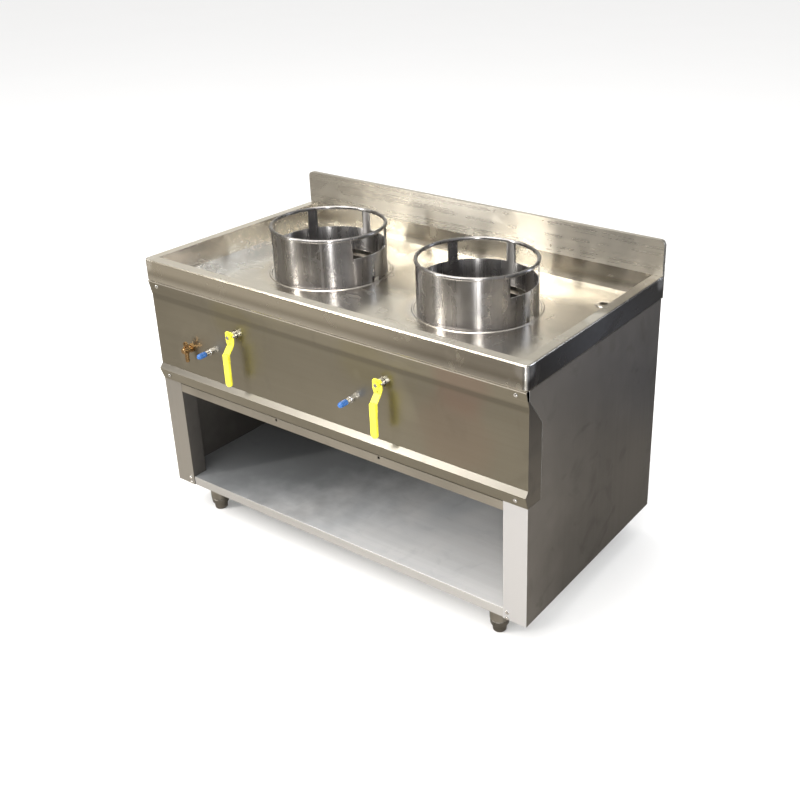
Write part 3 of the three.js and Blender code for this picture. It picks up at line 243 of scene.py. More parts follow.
def band_group():
    """A soft band between two heights."""
    tree, given, out = open_group(
        "Band",
        [("Low", "Float", 0.0), ("High", "Float", 1.0), ("Soft", "Float", 0.01)],
        [("Mask", "Float")],
    )
    height = node(tree, "SeparateXYZ", {0: object_place(tree)}).outputs["Z"]
    above = node(
        tree,
        "MapRange",
        {
            "Value": height,
            "From Min": math_node(tree, "SUBTRACT", given.outputs["Low"], given.outputs["Soft"]),
            "From Max": math_node(tree, "ADD", given.outputs["Low"], given.outputs["Soft"]),
        },
        interpolation_type="SMOOTHSTEP",
    ).outputs["Result"]
    below = node(
        tree,
        "MapRange",
        {
            "Value": height,
            "From Min": math_node(tree, "ADD", given.outputs["High"], given.outputs["Soft"]),
            "From Max": math_node(tree, "SUBTRACT", given.outputs["High"], given.outputs["Soft"]),
        },
        interpolation_type="SMOOTHSTEP",
    ).outputs["Result"]
    tree.links.new(math_node(tree, "MULTIPLY", above, below), out.inputs["Mask"])
    return tree


def spot_group():
    """A soft round spot about a point, with a ragged edge."""
    tree, given, out = open_group(
        "Spot",
        [("Centre", "Vector", (0, 0, 0)), ("Radius", "Float", 0.1), ("Ragged", "Float", 0.3)],
        [("Mask", "Float")],
    )
    place = node(tree, "TexCoord").outputs["Object"]
    off = node(tree, "VectorMath", {0: place, 1: given.outputs["Centre"]}, operation="DISTANCE")
    ragged = node(tree, "TexNoise", {"Vector": place, "Scale": 14.0, "Detail": 4.0}).outputs[0]
    uneven = math_node(tree, "SUBTRACT", ragged, 0.5)
    push = math_node(tree, "MULTIPLY", uneven, given.outputs["Ragged"])
    share = math_node(tree, "DIVIDE", off.outputs["Value"], given.outputs["Radius"])
    far = math_node(tree, "ADD", share, push)
    tree.links.new(ranged(tree, far, 1.0, 0.45), out.inputs["Mask"])
    return tree


def facing_group():
    """Faces that look along a direction."""
    tree, given, out = open_group(
        "Facing",
        [("Direction", "Vector", (0, -1, 0)), ("From", "Float", 0.6), ("To", "Float", 0.9)],
        [("Mask", "Float")],
    )
    normal = node(tree, "TexCoord").outputs["Normal"]
    pair = {0: normal, 1: given.outputs["Direction"]}
    along = node(tree, "VectorMath", pair, operation="DOT_PRODUCT")
    tree.links.new(
        ranged(tree, along.outputs["Value"], given.outputs["From"], given.outputs["To"]),
        out.inputs["Mask"],
    )
    return tree


def heat_group():
    """Heat colours round a hot axis: straw, brown and blue with the distance from it."""
    tree, given, out = open_group(
        "Heat colours",
        [("Centre", "Vector", (0, 0, 0)), ("Near", "Float", 0.1), ("Far", "Float", 0.2)],
        [("Colour", "Color"), ("Mask", "Float")],
    )
    place = node(tree, "TexCoord").outputs["Object"]
    off = node(tree, "VectorMath", {0: place, 1: given.outputs["Centre"]}, operation="DISTANCE")
    ragged = node(tree, "TexNoise", {"Vector": place, "Scale": 9.0, "Detail": 3.0}).outputs[0]
    push = math_node(tree, "MULTIPLY", math_node(tree, "SUBTRACT", ragged, 0.5), 0.05)
    reach = math_node(tree, "ADD", off.outputs["Value"], push)
    share = ranged(tree, reach, given.outputs["Near"], given.outputs["Far"], smooth=False)
    ramp = node(tree, "ValToRGB", {0: share})
    stops = ramp.color_ramp.elements
    stops[0].position, stops[0].color = 0.0, (0.10, 0.10, 0.14, 1)
    stops[1].position, stops[1].color = 1.0, (0.62, 0.58, 0.52, 1)
    for position, colour in (
        (0.22, (0.20, 0.26, 0.46, 1)),
        (0.42, (0.36, 0.25, 0.22, 1)),
        (0.62, (0.60, 0.46, 0.26, 1)),
    ):
        stops.new(position).color = colour
    tree.links.new(ramp.outputs[0], out.inputs["Colour"])
    tree.links.new(ranged(tree, share, 1.0, 0.5), out.inputs["Mask"])
    return tree


def room_group():
    """The room that the steel mirrors and the camera doesn't see: a tone for each bearing."""
    tree, given, out = open_group(
        "Room",
        [("Direction", "Vector", (0, 0, 1)), ("Ceiling", "Color", (1, 1, 1, 1))],
        [("Colour", "Color")],
    )
    way = given.outputs["Direction"]
    bearing = node(tree, "TexGradient", {"Vector": way}, gradient_type="RADIAL")
    ramp = node(tree, "ValToRGB", {0: bearing.outputs["Fac"]})
    stops = ramp.color_ramp.elements
    first, last = ROOM[0], ROOM[-1]
    stops[0].position, stops[0].color = 0.0, (*first[1], 1)
    stops[1].position, stops[1].color = 1.0, (*last[1], 1)
    for degrees, colour in ROOM[1:-1]:
        stops.new(degrees / 360 + 0.5).color = (*colour, 1)
    level = node(tree, "VectorMath", {0: way}, operation="NORMALIZE").outputs[0]
    up = node(tree, "SeparateXYZ", {0: level}).outputs["Z"]
    share = ranged(tree, up, 0.35, 0.95)
    tone_seen = mixed(tree, share, ramp.outputs[0], given.outputs["Ceiling"])
    tree.links.new(tone_seen, out.inputs["Colour"])
    return tree


# Bearing in degrees and tone. Set by comparing the rings in renders and in the photo.
ROOM = (
    (-180, (0.36, 0.33, 0.28)),
    (-122, (0.34, 0.31, 0.265)),
    (-112, (0.13, 0.115, 0.10)),
    (-72, (0.09, 0.08, 0.075)),
    (-62, (0.05, 0.05, 0.055)),
    (-48, (0.62, 0.62, 0.64)),
    (-10, (0.27, 0.28, 0.32)),
    (14, (0.10, 0.10, 0.115)),
    (38, (0.07, 0.07, 0.08)),
    (47, (0.40, 0.44, 0.55)),
    (56, (0.12, 0.115, 0.11)),
    (88, (0.16, 0.15, 0.14)),
    (114, (0.44, 0.42, 0.375)),
    (132, (0.84, 0.81, 0.735)),
    (150, (0.56, 0.535, 0.485)),
    (180, (0.36, 0.33, 0.28)),
)

GROUP_MAKERS = {
    "Room": room_group,
    "Brushing": brushed_group,
    "Handling marks": marks_group,
    "Band": band_group,
    "Spot": spot_group,
    "Facing": facing_group,
    "Heat colours": heat_group,
}


def effect(tree, name, **inputs):
    """A shared effect placed in a material with its own values."""
    made = tree.nodes.new("ShaderNodeGroup")
    made.node_tree = bpy.data.node_groups.get(name) or GROUP_MAKERS[name]()
    for key, value in inputs.items():
        if isinstance(value, bpy.types.NodeSocket):
            tree.links.new(value, made.inputs[key])
        else:
            made.inputs[key].default_value = value
    return made


# ---- Finishes ----------------------------------------------------------------------------------


def shade(colour, by):
    return tuple(min(1.0, c * by) for c in colour[:3]) + (1.0,)


def bare(name):
    """A material with one Principled shader; returns it with its node tree and shader."""
    material = bpy.data.materials.new(name)
    material.use_nodes = True
    shader = material.node_tree.nodes["Principled BSDF"]
    return material, material.node_tree, shader


def drawn_out(tree, shader, amount, along=None):
    """Draws highlights out across the brushing, whose direction is along, or else upright."""
    if along:
        normal = node(tree, "NewGeometry").outputs["Normal"]
        way = node(tree, "VectorMath", {0: normal, 1: along}, operation="CROSS_PRODUCT").outputs[0]
    else:
        way = node(tree, "CombineXYZ", {"Z": 1.0}).outputs[0]
    tree.links.new(way, shader.inputs["Tangent"])
    shader.inputs["Anisotropic"].default_value = amount


def steel(
    name,
    colour,
    roughness,
    stretch,
    marks=1.0,
    grain=0.3,
    clouds=0.14,
    tints=(),
    haze=0.0,
    pull=0.0,
):
    """Brushed sheet. tints take the tree and the colour so far and give the next; haze is a matt
    share, and pull draws the highlights out across the brushing."""
    if name in bpy.data.materials:
        return bpy.data.materials[name]
    material, tree, shader = bare(name)
    lines = effect(tree, "Brushing", Stretch=stretch)
    wear = effect(tree, "Handling marks", Scale=marks)
    base = mixed(tree, wear.outputs["Cloud"], shade(colour, 1 - clouds), shade(colour, 1 + clouds))
    streaks = mixed(tree, lines.outputs["Streaks"], shade((1, 1, 1), 0.95), (1, 1, 1, 1))
    base = mixed(tree, 1.0, base, streaks, "MULTIPLY")
    dulled = math_node(tree, "MULTIPLY", wear.outputs["Smudge"], 0.28)
    base = mixed(tree, dulled, base, shade(colour, 0.66))
    bright = math_node(tree, "MULTIPLY", wear.outputs["Scratch"], 0.2)
    base = mixed(tree, bright, base, shade(colour, 1.7))
    specks = math_node(tree, "MULTIPLY", wear.outputs["Speck"], 0.10)
    base = mixed(tree, specks, base, shade(colour, 0.5))
    for tint in tints:
        base = tint(tree, base)
    tree.links.new(base, shader.inputs["Base Color"])
    shader.inputs["Metallic"].default_value = 1.0 - haze
    if pull:
        drawn_out(tree, shader, pull, along=tuple(float(s == min(stretch)) for s in stretch))
    smooth, coarse = roughness - 0.025, roughness + 0.025
    rough = ranged(tree, lines.outputs["Streaks"], 0, 1, smooth, coarse, False)
    rough = math_node(tree, "ADD", rough, math_node(tree, "MULTIPLY", wear.outputs["Smudge"], 0.12))
    rough = math_node(tree, "SUBTRACT", rough, math_node(tree, "MULTIPLY", bright, 0.2), clamp=True)
    tree.links.new(rough, shader.inputs["Roughness"])
    cut = math_node(tree, "MULTIPLY", bright, -0.6)
    height = math_node(tree, "ADD", lines.outputs["Height"], cut)
    bump = node(tree, "Bump", {"Strength": grain, "Distance": 0.0002, "Height": height})
    tree.links.new(bump.outputs[0], shader.inputs["Normal"])
    return material


def band_tint(low, high, soft, colour, amount):
    """Recolours a band of heights."""

    def tint(tree, base):
        mask = effect(tree, "Band", Low=low, High=high, Soft=soft).outputs["Mask"]
        return mixed(tree, math_node(tree, "MULTIPLY", mask, amount), base, shade(colour, 1))

    return tint


def spot_tint(centre, radius, ragged, colour, amount, looking=None):
    """Recolours round a point; looking keeps it to the faces that look that way."""

    def tint(tree, base):
        mask = effect(tree, "Spot", Centre=centre, Radius=radius, Ragged=ragged).outputs["Mask"]
        if looking:
            facing = effect(tree, "Facing", Direction=looking, From=0.5, To=0.9).outputs["Mask"]
            mask = math_node(tree, "MULTIPLY", mask, facing)
        return mixed(tree, math_node(tree, "MULTIPLY", mask, amount), base, shade(colour, 1))

    return tint


def facing_tint(direction, colour, amount, beyond=None):
    """Recolours the faces that look one way; beyond keeps it to those past that place along X."""

    def tint(tree, base):
        facing = effect(tree, "Facing", Direction=direction).outputs["Mask"]
        if beyond is not None:
            across = node(tree, "SeparateXYZ", {0: object_place(tree)}).outputs["X"]
            past = ranged(tree, across, beyond, beyond + 0.002)
            facing = math_node(tree, "MULTIPLY", facing, past)
        return mixed(tree, math_node(tree, "MULTIPLY", facing, amount), base, shade(colour, 1))

    return tint


def front_band_tint(low, high, colour, amount):
    """Recolours the front faces between two heights."""

    def tint(tree, base):
        mask = effect(tree, "Band", Low=low, High=high, Soft=0.012).outputs["Mask"]
        facing = effect(tree, "Facing", Direction=(0, -1, 0), From=0.5, To=0.9).outputs["Mask"]
        share = math_node(tree, "MULTIPLY", math_node(tree, "MULTIPLY", mask, facing), amount)
        return mixed(tree, share, base, shade(colour, 1))

    return tint


def heat_tint(centre, near, far, amount):
    """Heat colours round a burner."""

    def tint(tree, base):
        heat = effect(tree, "Heat colours", Centre=centre, Near=near, Far=far)
        share = math_node(tree, "MULTIPLY", heat.outputs["Mask"], amount)
        return mixed(tree, share, base, heat.outputs["Colour"])

    return tint


def fold_wear_and_highlight(name, colour, haze=0.5):
    """The brighter skin along a fold: rubbed wear and a painted highlight; haze is its matt share.
    """
    if name in bpy.data.materials:
        return bpy.data.materials[name]
    material, tree, shader = bare(name)
    wear = effect(tree, "Handling marks", Scale=3.0)
    base = mixed(tree, wear.outputs["Cloud"], shade(colour, 0.85), shade(colour, 1.15))
    tree.links.new(base, shader.inputs["Base Color"])
    shader.inputs["Metallic"].default_value = 1.0 - haze
    rough = ranged(tree, wear.outputs["Smudge"], 0, 1, 0.2, 0.34, False)
    tree.links.new(rough, shader.inputs["Roughness"])
    dimples = {"Strength": 0.2, "Distance": 0.0002, "Height": wear.outputs["Cloud"]}
    bump = node(tree, "Bump", dimples)
    tree.links.new(bump.outputs[0], shader.inputs["Normal"])
    return material


def metal(name, colour, roughness, texture=40.0, bumpy=0.1, pitted=0.0):
    """Solid metal with fine cloudy wear: chrome, brass, copper, cast iron and pipe."""
    if name in bpy.data.materials:
        return bpy.data.materials[name]
    material, tree, shader = bare(name)
    wear = effect(tree, "Handling marks", Scale=6.0)
    place = object_place(tree)
    grain = {"Vector": place, "Scale": texture * 20, "Detail": 5.0}
    fine = node(tree, "TexNoise", grain).outputs[0]
    base = mixed(tree, wear.outputs["Cloud"], shade(colour, 0.72), shade(colour, 1.2))
    for mark, amount, by in (("Smudge", 0.5, 0.5), ("Scratch", 0.4, 1.8)):
        share = math_node(tree, "MULTIPLY", wear.outputs[mark], amount)
        base = mixed(tree, share, base, shade(colour, by))
    tree.links.new(base, shader.inputs["Base Color"])
    shader.inputs["Metallic"].default_value = 1.0
    rough = ranged(tree, wear.outputs["Smudge"], 0, 1, roughness, min(1.0, roughness + 0.2), False)
    tree.links.new(rough, shader.inputs["Roughness"])
    pits = node(tree, "TexVoronoi", {"Vector": place, "Scale": texture * 12}).outputs["Distance"]
    height = math_node(tree, "ADD", fine, math_node(tree, "MULTIPLY", pits, pitted))
    bump = node(tree, "Bump", {"Strength": bumpy, "Distance": 0.0006, "Height": height})
    tree.links.new(bump.outputs[0], shader.inputs["Normal"])
    return material


def plastic(name, colour, roughness, dirt=0.25, coat=0.0):
    """Moulded vinyl or plastic with worn, grubby patches."""
    if name in bpy.data.materials:
        return bpy.data.materials[name]
    material, tree, shader = bare(name)
    wear = effect(tree, "Handling marks", Scale=8.0)
    place = object_place(tree)
    fine = node(tree, "TexNoise", {"Vector": place, "Scale": 900.0, "Detail": 3.0}).outputs[0]
    base = mixed(tree, wear.outputs["Cloud"], shade(colour, 0.84), shade(colour, 1.1))
    grubby = tuple(c * 0.35 for c in colour[:3])
    for mark in ("Smudge", "Speck"):
        share = math_node(tree, "MULTIPLY", wear.outputs[mark], dirt)
        base = mixed(tree, share, base, shade(grubby, 1))
    tree.links.new(base, shader.inputs["Base Color"])
    shader.inputs["Coat Weight"].default_value = coat
    rough = ranged(tree, wear.outputs["Smudge"], 0, 1, roughness, roughness + 0.2, False)
    tree.links.new(rough, shader.inputs["Roughness"])
    bump = node(tree, "Bump", {"Strength": 0.12, "Distance": 0.0003, "Height": fine})
    tree.links.new(bump.outputs[0], shader.inputs["Normal"])
    return material


ALONG_X = (5, 520, 520)
ALONG_Z = (520, 520, 5)


# ---- Modelling helpers -------------------------------------------------------------------------


def clear_choice():
    if bpy.context.object and bpy.context.object.mode != "OBJECT":
        bpy.ops.object.mode_set(mode="OBJECT")
    bpy.ops.object.select_all(action="DESELECT")


def take(piece):
    clear_choice()
    piece.select_set(True)
    bpy.context.view_layer.objects.active = piece


@contextmanager
def editing(piece):
    take(piece)
    bpy.ops.object.mode_set(mode="EDIT")
    bpy.context.tool_settings.mesh_select_mode = (True, False, False)
    bpy.ops.mesh.select_all(action="SELECT")
    yield
    bpy.ops.object.mode_set(mode="OBJECT")


def choose(piece, kind, test):
    """Selects, in edit mode, exactly the vertices, edges or faces that pass the test."""
    bpy.context.tool_settings.mesh_select_mode = [kind == k for k in ("VERT", "EDGE", "FACE")]
    mesh = bmesh.from_edit_mesh(piece.data)
    for items in (mesh.faces, mesh.edges, mesh.verts):
        for item in items:
            item.select = False
    for item in {"VERT": mesh.verts, "EDGE": mesh.edges, "FACE": mesh.faces}[kind]:
        if test(item):
            item.select_set(True)
    bmesh.update_edit_mesh(piece.data)


def settle(piece, name=None):
    """Names a piece and writes its place into its mesh."""
    take(piece)
    bpy.ops.object.transform_apply(location=True, rotation=True, scale=True)
    if name:
        piece.name = name
        piece.data.name = name
    return piece


def rounded(piece, width, segments=2, angle=30.0, skin=0, flats=True):
    """Rounds the sharp edges, and keeps the flats flat."""
    take(piece)
    if width:
        bevel = piece.modifiers.new("Rounding", "BEVEL")
        bevel.width, bevel.segments = width, segments
        bevel.limit_method, bevel.angle_limit = "ANGLE", math.radians(angle)
        bevel.use_clamp_overlap = True
        bevel.material = skin if skin else -1
        bpy.ops.object.modifier_apply(modifier=bevel.name)
        with editing(piece):
            bpy.ops.mesh.dissolve_degenerate(threshold=1e-5)
    take(piece)
    bpy.ops.object.shade_smooth_by_angle(angle=math.radians(38))
    if flats:
        weighted = piece.modifiers.new("Flats", "WEIGHTED_NORMAL")
        weighted.keep_sharp = True
        bpy.ops.object.modifier_apply(modifier=weighted.name)
    return piece


def turned(name, points, centre, sides=48):
    """A turned piece: its (radius, height) profile spun round an upright axis."""
    centre = Vector(centre)
    spots = [centre + Vector((radius, 0, height)) for radius, height in points]
    clear_choice()
    bpy.ops.mesh.primitive_plane_add(size=0.0001, location=spots[0])
    piece = settle(bpy.context.object, name)
    with editing(piece):
        bpy.ops.mesh.merge(type="CENTER")
        for before, after in zip(spots, spots[1:]):
            bpy.ops.mesh.extrude_vertices_move(TRANSFORM_OT_translate={"value": after - before})
        bpy.ops.mesh.select_all(action="SELECT")
        bpy.ops.mesh.spin(steps=sides, angle=2 * math.pi, center=centre, axis=(0, 0, 1))
        bpy.ops.mesh.select_all(action="SELECT")
        bpy.ops.mesh.remove_doubles(threshold=1e-6)
        bpy.ops.mesh.normals_make_consistent(inside=False)
    return piece


def joined(name, *pieces):
    """One piece from several."""
    take(pieces[0])
    for piece in pieces[1:]:
        piece.select_set(True)
    bpy.ops.object.join()
    pieces[0].name = pieces[0].data.name = name
    return pieces[0]


def moved_copy(piece, name, offset):
    """A copy with its own mesh, moved by the offset."""
    take(piece)
    bpy.ops.object.duplicate()
    copy = bpy.context.object
    copy.location = offset
    return settle(copy, name)


def finish_piece(piece, cad_node, materials):
    """Gives the piece its finishes and lets it stand for its CAD node."""
    piece.data.materials.clear()
    for material in materials:
        piece.data.materials.append(material)
    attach(piece, frame["nodes"][cad_node]["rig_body"])
    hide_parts(cad_node)
    return piece


def recut(cad_node, materials, width, segments=2, angle=30.0):
    """A merged copy of a CAD node with rounded folds. A second material goes on the folds."""
    source = frame["nodes"][cad_node]
    piece = bpy.data.objects.new("dressed_" + cad_node, source.data.copy())
    bpy.context.scene.collection.objects.link(piece)
    take(piece)
    bpy.ops.mesh.customdata_custom_splitnormals_clear()
    with editing(piece):
        bpy.ops.mesh.remove_doubles(threshold=1e-5)
        bpy.ops.mesh.dissolve_limited(angle_limit=math.radians(0.5))
    piece.data.materials.clear()
    for material in materials:
        piece.data.materials.append(material)
    rounded(piece, width, segments, angle, skin=1 if len(materials) > 1 else 0)
    return finish_piece(piece, cad_node, materials)


def middle(cad_node):
    low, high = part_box(cad_node)
    return (low + high) / 2


# ---- Pieces ------------------------------------------------------------------------------------


class WokPiece:
    """What the piece operators share."""

    bl_options = {"REGISTER", "UNDO"}


class WOK_OT_worktop(WokPiece, bpy.types.Operator):
    """Worktop with its tall edge and pan, and the raised back"""

    bl_idname = "wok.worktop"
    bl_label = "Worktop and splash"

    def execute(self, context):
        low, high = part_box("worktop")
        rim = high.z
        heats = [
            heat_tint(middle(f"wok_ring_{side}") - Vector((0, 0, 0.06)), 0.15, 0.21, 0.14)
            for side in SIDES
        ]
        # Paler patches at the rim's four corners: ground weld marks and a painted highlight.
        corners = [
            spot_tint((x, y, rim - 0.01), 0.032, 0.4, (0.95, 0.93, 0.88), 0.6)
            for x in (low.x + 0.008, high.x - 0.008)
            for y in (low.y + 0.008, high.y - 0.012)
        ]
        drain = middle("drain_strainer")
        stain = spot_tint(drain, 0.075, 0.9, (0.25, 0.22, 0.18), 0.35)
        skirt = low.z
        # Painted reflection: the deck is darker between the rings and to the right of the right
        # ring.
        between = spot_tint((0.0, 0.1, rim - 0.06), 0.16, 0.5, (0.27, 0.25, 0.205), 0.85)
        beside = spot_tint((0.52, 0.12, rim - 0.06), 0.21, 0.4, (0.40, 0.375, 0.33), 0.8)
        # Painted highlight: a pale patch at the right end of the rim.
        painted_highlight_rim_end = spot_tint((high.x, 0.0, rim), 0.05, 0.1, (1.0, 0.98, 0.93), 1.0)
        # Painted light on the rim's edges: its right side is painted dark, and its tall front face
        # is painted in mirrored tones, with a dark band low down above a pale strip at its foot.
        painted_light_on_edges = [
            facing_tint((1, 0, 0), (0.10, 0.092, 0.082), 0.95, beyond=high.x - 0.02),
            facing_tint((0, -1, 0), (0.60, 0.56, 0.475), 0.9),
            front_band_tint(skirt, skirt + 0.030, (0.36, 0.33, 0.275), 0.8),
            front_band_tint(skirt, skirt + 0.014, (0.80, 0.77, 0.70), 0.8),
        ]
        top = steel(
            "worktop_steel",
            colours().worktop,
            0.23,
            ALONG_X,
            1.3,
            clouds=0.1,
            tints=[*heats, stain, between, beside, painted_highlight_rim_end, *painted_light_on_edges, *corners],
        )
        # A pale painted highlight on the folds of the worktop and the splash.
        fold = fold_wear_and_highlight("worktop_fold", (0.90, 0.87, 0.80))
        sheet = recut("worktop", [top, fold], sizes().top_fold, 2, 50)
        joined("dressed_worktop", sheet, *self.welded_corners(low, high))
        back = steel(
            "splash_steel", colours().splash, 0.28, ALONG_X, 1.0, 0.12, 0.1, haze=0.1, pull=0.9
        )
        recut("backsplash", [back, fold], sizes().top_fold, 2, 50)
        return {"FINISHED"}

    def welded_corners(self, low, high):
        """The welded fillings behind the tall edge's two rounded front corners."""
        round_off, inset, tall = 0.014, 0.00012, high.z - low.z
        outside, turn_in = round_off - inset, 0.0052
        foot, head = 0.0012, tall - 0.0030
        profile = [
            (0.0, foot),
            (outside - 0.0034, foot),
            (outside - 0.0012, 0.0026),
            (outside, turn_in),
            (outside, tall - turn_in),
            (outside - 0.0010, head),
            (0.0, head),
        ]
        fillings = []
        for x in (low.x + round_off, high.x - round_off):
            filling = turned("corner_filling", profile, (x, low.y + round_off, low.z), sides=72)
            filling.data.materials.append(bpy.data.materials["worktop_steel"])
            fillings.append(rounded(filling, 0))
        return fillings


# Places round a wok ring, in degrees from its right end towards the back.
WINDOWS, WINDOW_HALF = (0, 60, 120, 180), 25
SOLDERED = (30, 90, 150, 207, 333)
SEAM, SEAM_DROPS = -56, 24


class WOK_OT_rings(WokPiece, bpy.types.Operator):
    """Wok rings: rolled bands with windows, a round bar on top and a weld seam"""

    bl_idname = "wok.rings"
    bl_label = "Wok rings"

    def execute(self, context):
        wall, bar = sizes().ring_wall, sizes().ring_bar
        low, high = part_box("wok_ring_left")
        centre = Vector(((low.x + high.x) / 2, (low.y + high.y) / 2, 0))
        radius = (high.x - low.x) / 2 - bar
        bar_z = high.z - bar
        top = bar_z - bar * 0.6
        sill = top - sizes().window_high
        clear_choice()
        bpy.ops.mesh.primitive_cylinder_add(
            vertices=sizes().ring_sides,
            radius=radius,
            depth=bar_z - low.z,
            end_fill_type="NOTHING",
            location=(centre.x, centre.y, (bar_z + low.z) / 2),
        )
        band = settle(bpy.context.object, "ring_band")

        def turn_of(point):
            return math.degrees(math.atan2(point.y - centre.y, point.x - centre.x)) % 360

        def in_window(turn, grow=0.0):
            return any(
                abs((turn - at + 180) % 360 - 180) < WINDOW_HALF + grow for at in WINDOWS
            )

        with editing(band):
            for height in (sill, top, low.z + 0.004, (low.z + sill) / 2):
                bpy.ops.mesh.select_all(action="SELECT")
                bpy.ops.mesh.bisect(plane_co=(0, 0, height), plane_no=(0, 0, 1))
            choose(
                band,
                "FACE",
                lambda f: sill < f.calc_center_median().z < top
                and in_window(turn_of(f.calc_center_median())),
            )
            bpy.ops.mesh.delete(type="FACE")
            bpy.ops.mesh.select_all(action="SELECT")
            bpy.ops.mesh.normals_make_consistent(inside=False)
        take(band)
        thick = band.modifiers.new("Wall", "SOLIDIFY")
        thick.thickness, thick.offset = wall, 0.0
        bpy.ops.object.modifier_apply(modifier=thick.name)

        def window_corner(edge):
            a, b = (v.co for v in edge.verts)
            mid = (a + b) / 2
            flat = abs(a.z - b.z) < 1e-5 and abs(turn_of(a) - turn_of(b)) < 0.2
            level = min(abs(mid.z - sill), abs(mid.z - top)) < 1e-4
            edge_turn = in_window(turn_of(mid), 0.3) and not in_window(turn_of(mid), -0.3)
            return flat and level and edge_turn

        with editing(band):
            choose(band, "EDGE", window_corner)
            bpy.ops.mesh.bevel(offset=sizes().window_corner, segments=3, affect="EDGES")
        rounded(band, 0.0006, 2, 50, flats=False)
        clear_choice()
        bpy.ops.mesh.primitive_torus_add(
            major_segments=sizes().ring_sides,
            minor_segments=16,
            major_radius=radius,
            minor_radius=bar,
            location=(centre.x, centre.y, bar_z),
        )
        hoop = settle(bpy.context.object, "ring_bar")

        def drop(turn, reach, height, radius, segments, rings, scale):
            clear_choice()
            bpy.ops.mesh.primitive_uv_sphere_add(
                segments=segments,
                ring_count=rings,
                radius=radius,
                location=(
                    centre.x + reach * math.cos(math.radians(turn)),
                    centre.y + reach * math.sin(math.radians(turn)),
                    height,
                ),
                scale=scale,
            )
            return settle(bpy.context.object)

        drops = []
        for index in range(SEAM_DROPS):
            height = low.z + 0.006 + (top - low.z - 0.008) * index / (SEAM_DROPS - 1)
            reach = radius + wall / 2 - 0.0011
            drops.append(drop(SEAM, reach, height, sizes().weld, 10, 6, (0.8, 0.8, 1.5)))
        for turn in SOLDERED:
            height = bar_z - bar * 0.75
            drops.append(drop(turn, radius + 0.001, height, 0.004, 12, 8, (0.8, 1.0, 0.6)))
        seam = joined("ring_seam", *drops)
        take(seam)
        bpy.ops.object.shade_smooth()
        take(hoop)
        bpy.ops.object.shade_smooth()
        ring = joined("dressed_wok_ring_left", band, hoop, seam)
        other = middle("wok_ring_right") - middle("wok_ring_left")
        twin = moved_copy(ring, "dressed_wok_ring_right", other)
        for piece, side in ((ring, "left"), (twin, "right")):
            at = middle(f"wok_ring_{side}")
            material = self.finish(side, at, low.z)
            finish_piece(piece, f"wok_ring_{side}", [material])
        return {"FINISHED"}

    def finish(self, side, at, floor):
        """Polished band with rolled streaks, heat colours low inside and a grubby foot."""
        colour = colours().ring
        material, tree, shader = bare(f"ring_steel_{side}")
        wear = effect(tree, "Handling marks", Scale=3.0, Offset=(at.x, 0.3, 0))
        lines = effect(tree, "Brushing", Stretch=(300, 300, 6))
        base = mixed(tree, wear.outputs["Cloud"], shade(colour, 0.82), shade(colour, 1.18))
        streaks = mixed(tree, lines.outputs["Streaks"], shade((1, 1, 1), 0.8), (1, 1, 1, 1))
        base = mixed(tree, 1.0, base, streaks, "MULTIPLY")
        heat = effect(tree, "Band", Low=floor - 0.02, High=floor + 0.022, Soft=0.02).outputs["Mask"]
        base = mixed(tree, math_node(tree, "MULTIPLY", heat, 0.2), base, (0.30, 0.27, 0.28, 1))
        grubby = math_node(tree, "MULTIPLY", wear.outputs["Smudge"], 0.3)
        base = mixed(tree, grubby, base, shade(colour, 0.55))
        tree.links.new(base, shader.inputs["Base Color"])
        shader.inputs["Metallic"].default_value = 1.0
        drawn_out(tree, shader, 0.9)
        rough = ranged(tree, lines.outputs["Streaks"], 0, 1, 0.25, 0.3, False)
        duller = math_node(tree, "MULTIPLY", wear.outputs["Smudge"], 0.08)
        rough = math_node(tree, "ADD", rough, duller)
        tree.links.new(rough, shader.inputs["Roughness"])
        dents = node(
            tree, "TexNoise", {"Vector": object_place(tree), "Scale": 22.0, "Detail": 2.0}
        ).outputs[0]
        height = math_node(
            tree, "ADD", math_node(tree, "MULTIPLY", dents, 6.0), lines.outputs["Height"]
        )
        bump = node(tree, "Bump", {"Strength": 0.12, "Distance": 0.0002, "Height": height})
        tree.links.new(bump.outputs[0], shader.inputs["Normal"])
        return material


BEAD_HEIGHTS = (0.033, 0.0465)  # lower and upper edge of the drip bead, from the panel's foot
CREASE_DEPTH = 0.041  # crease of the sloped band, down from the panel's top


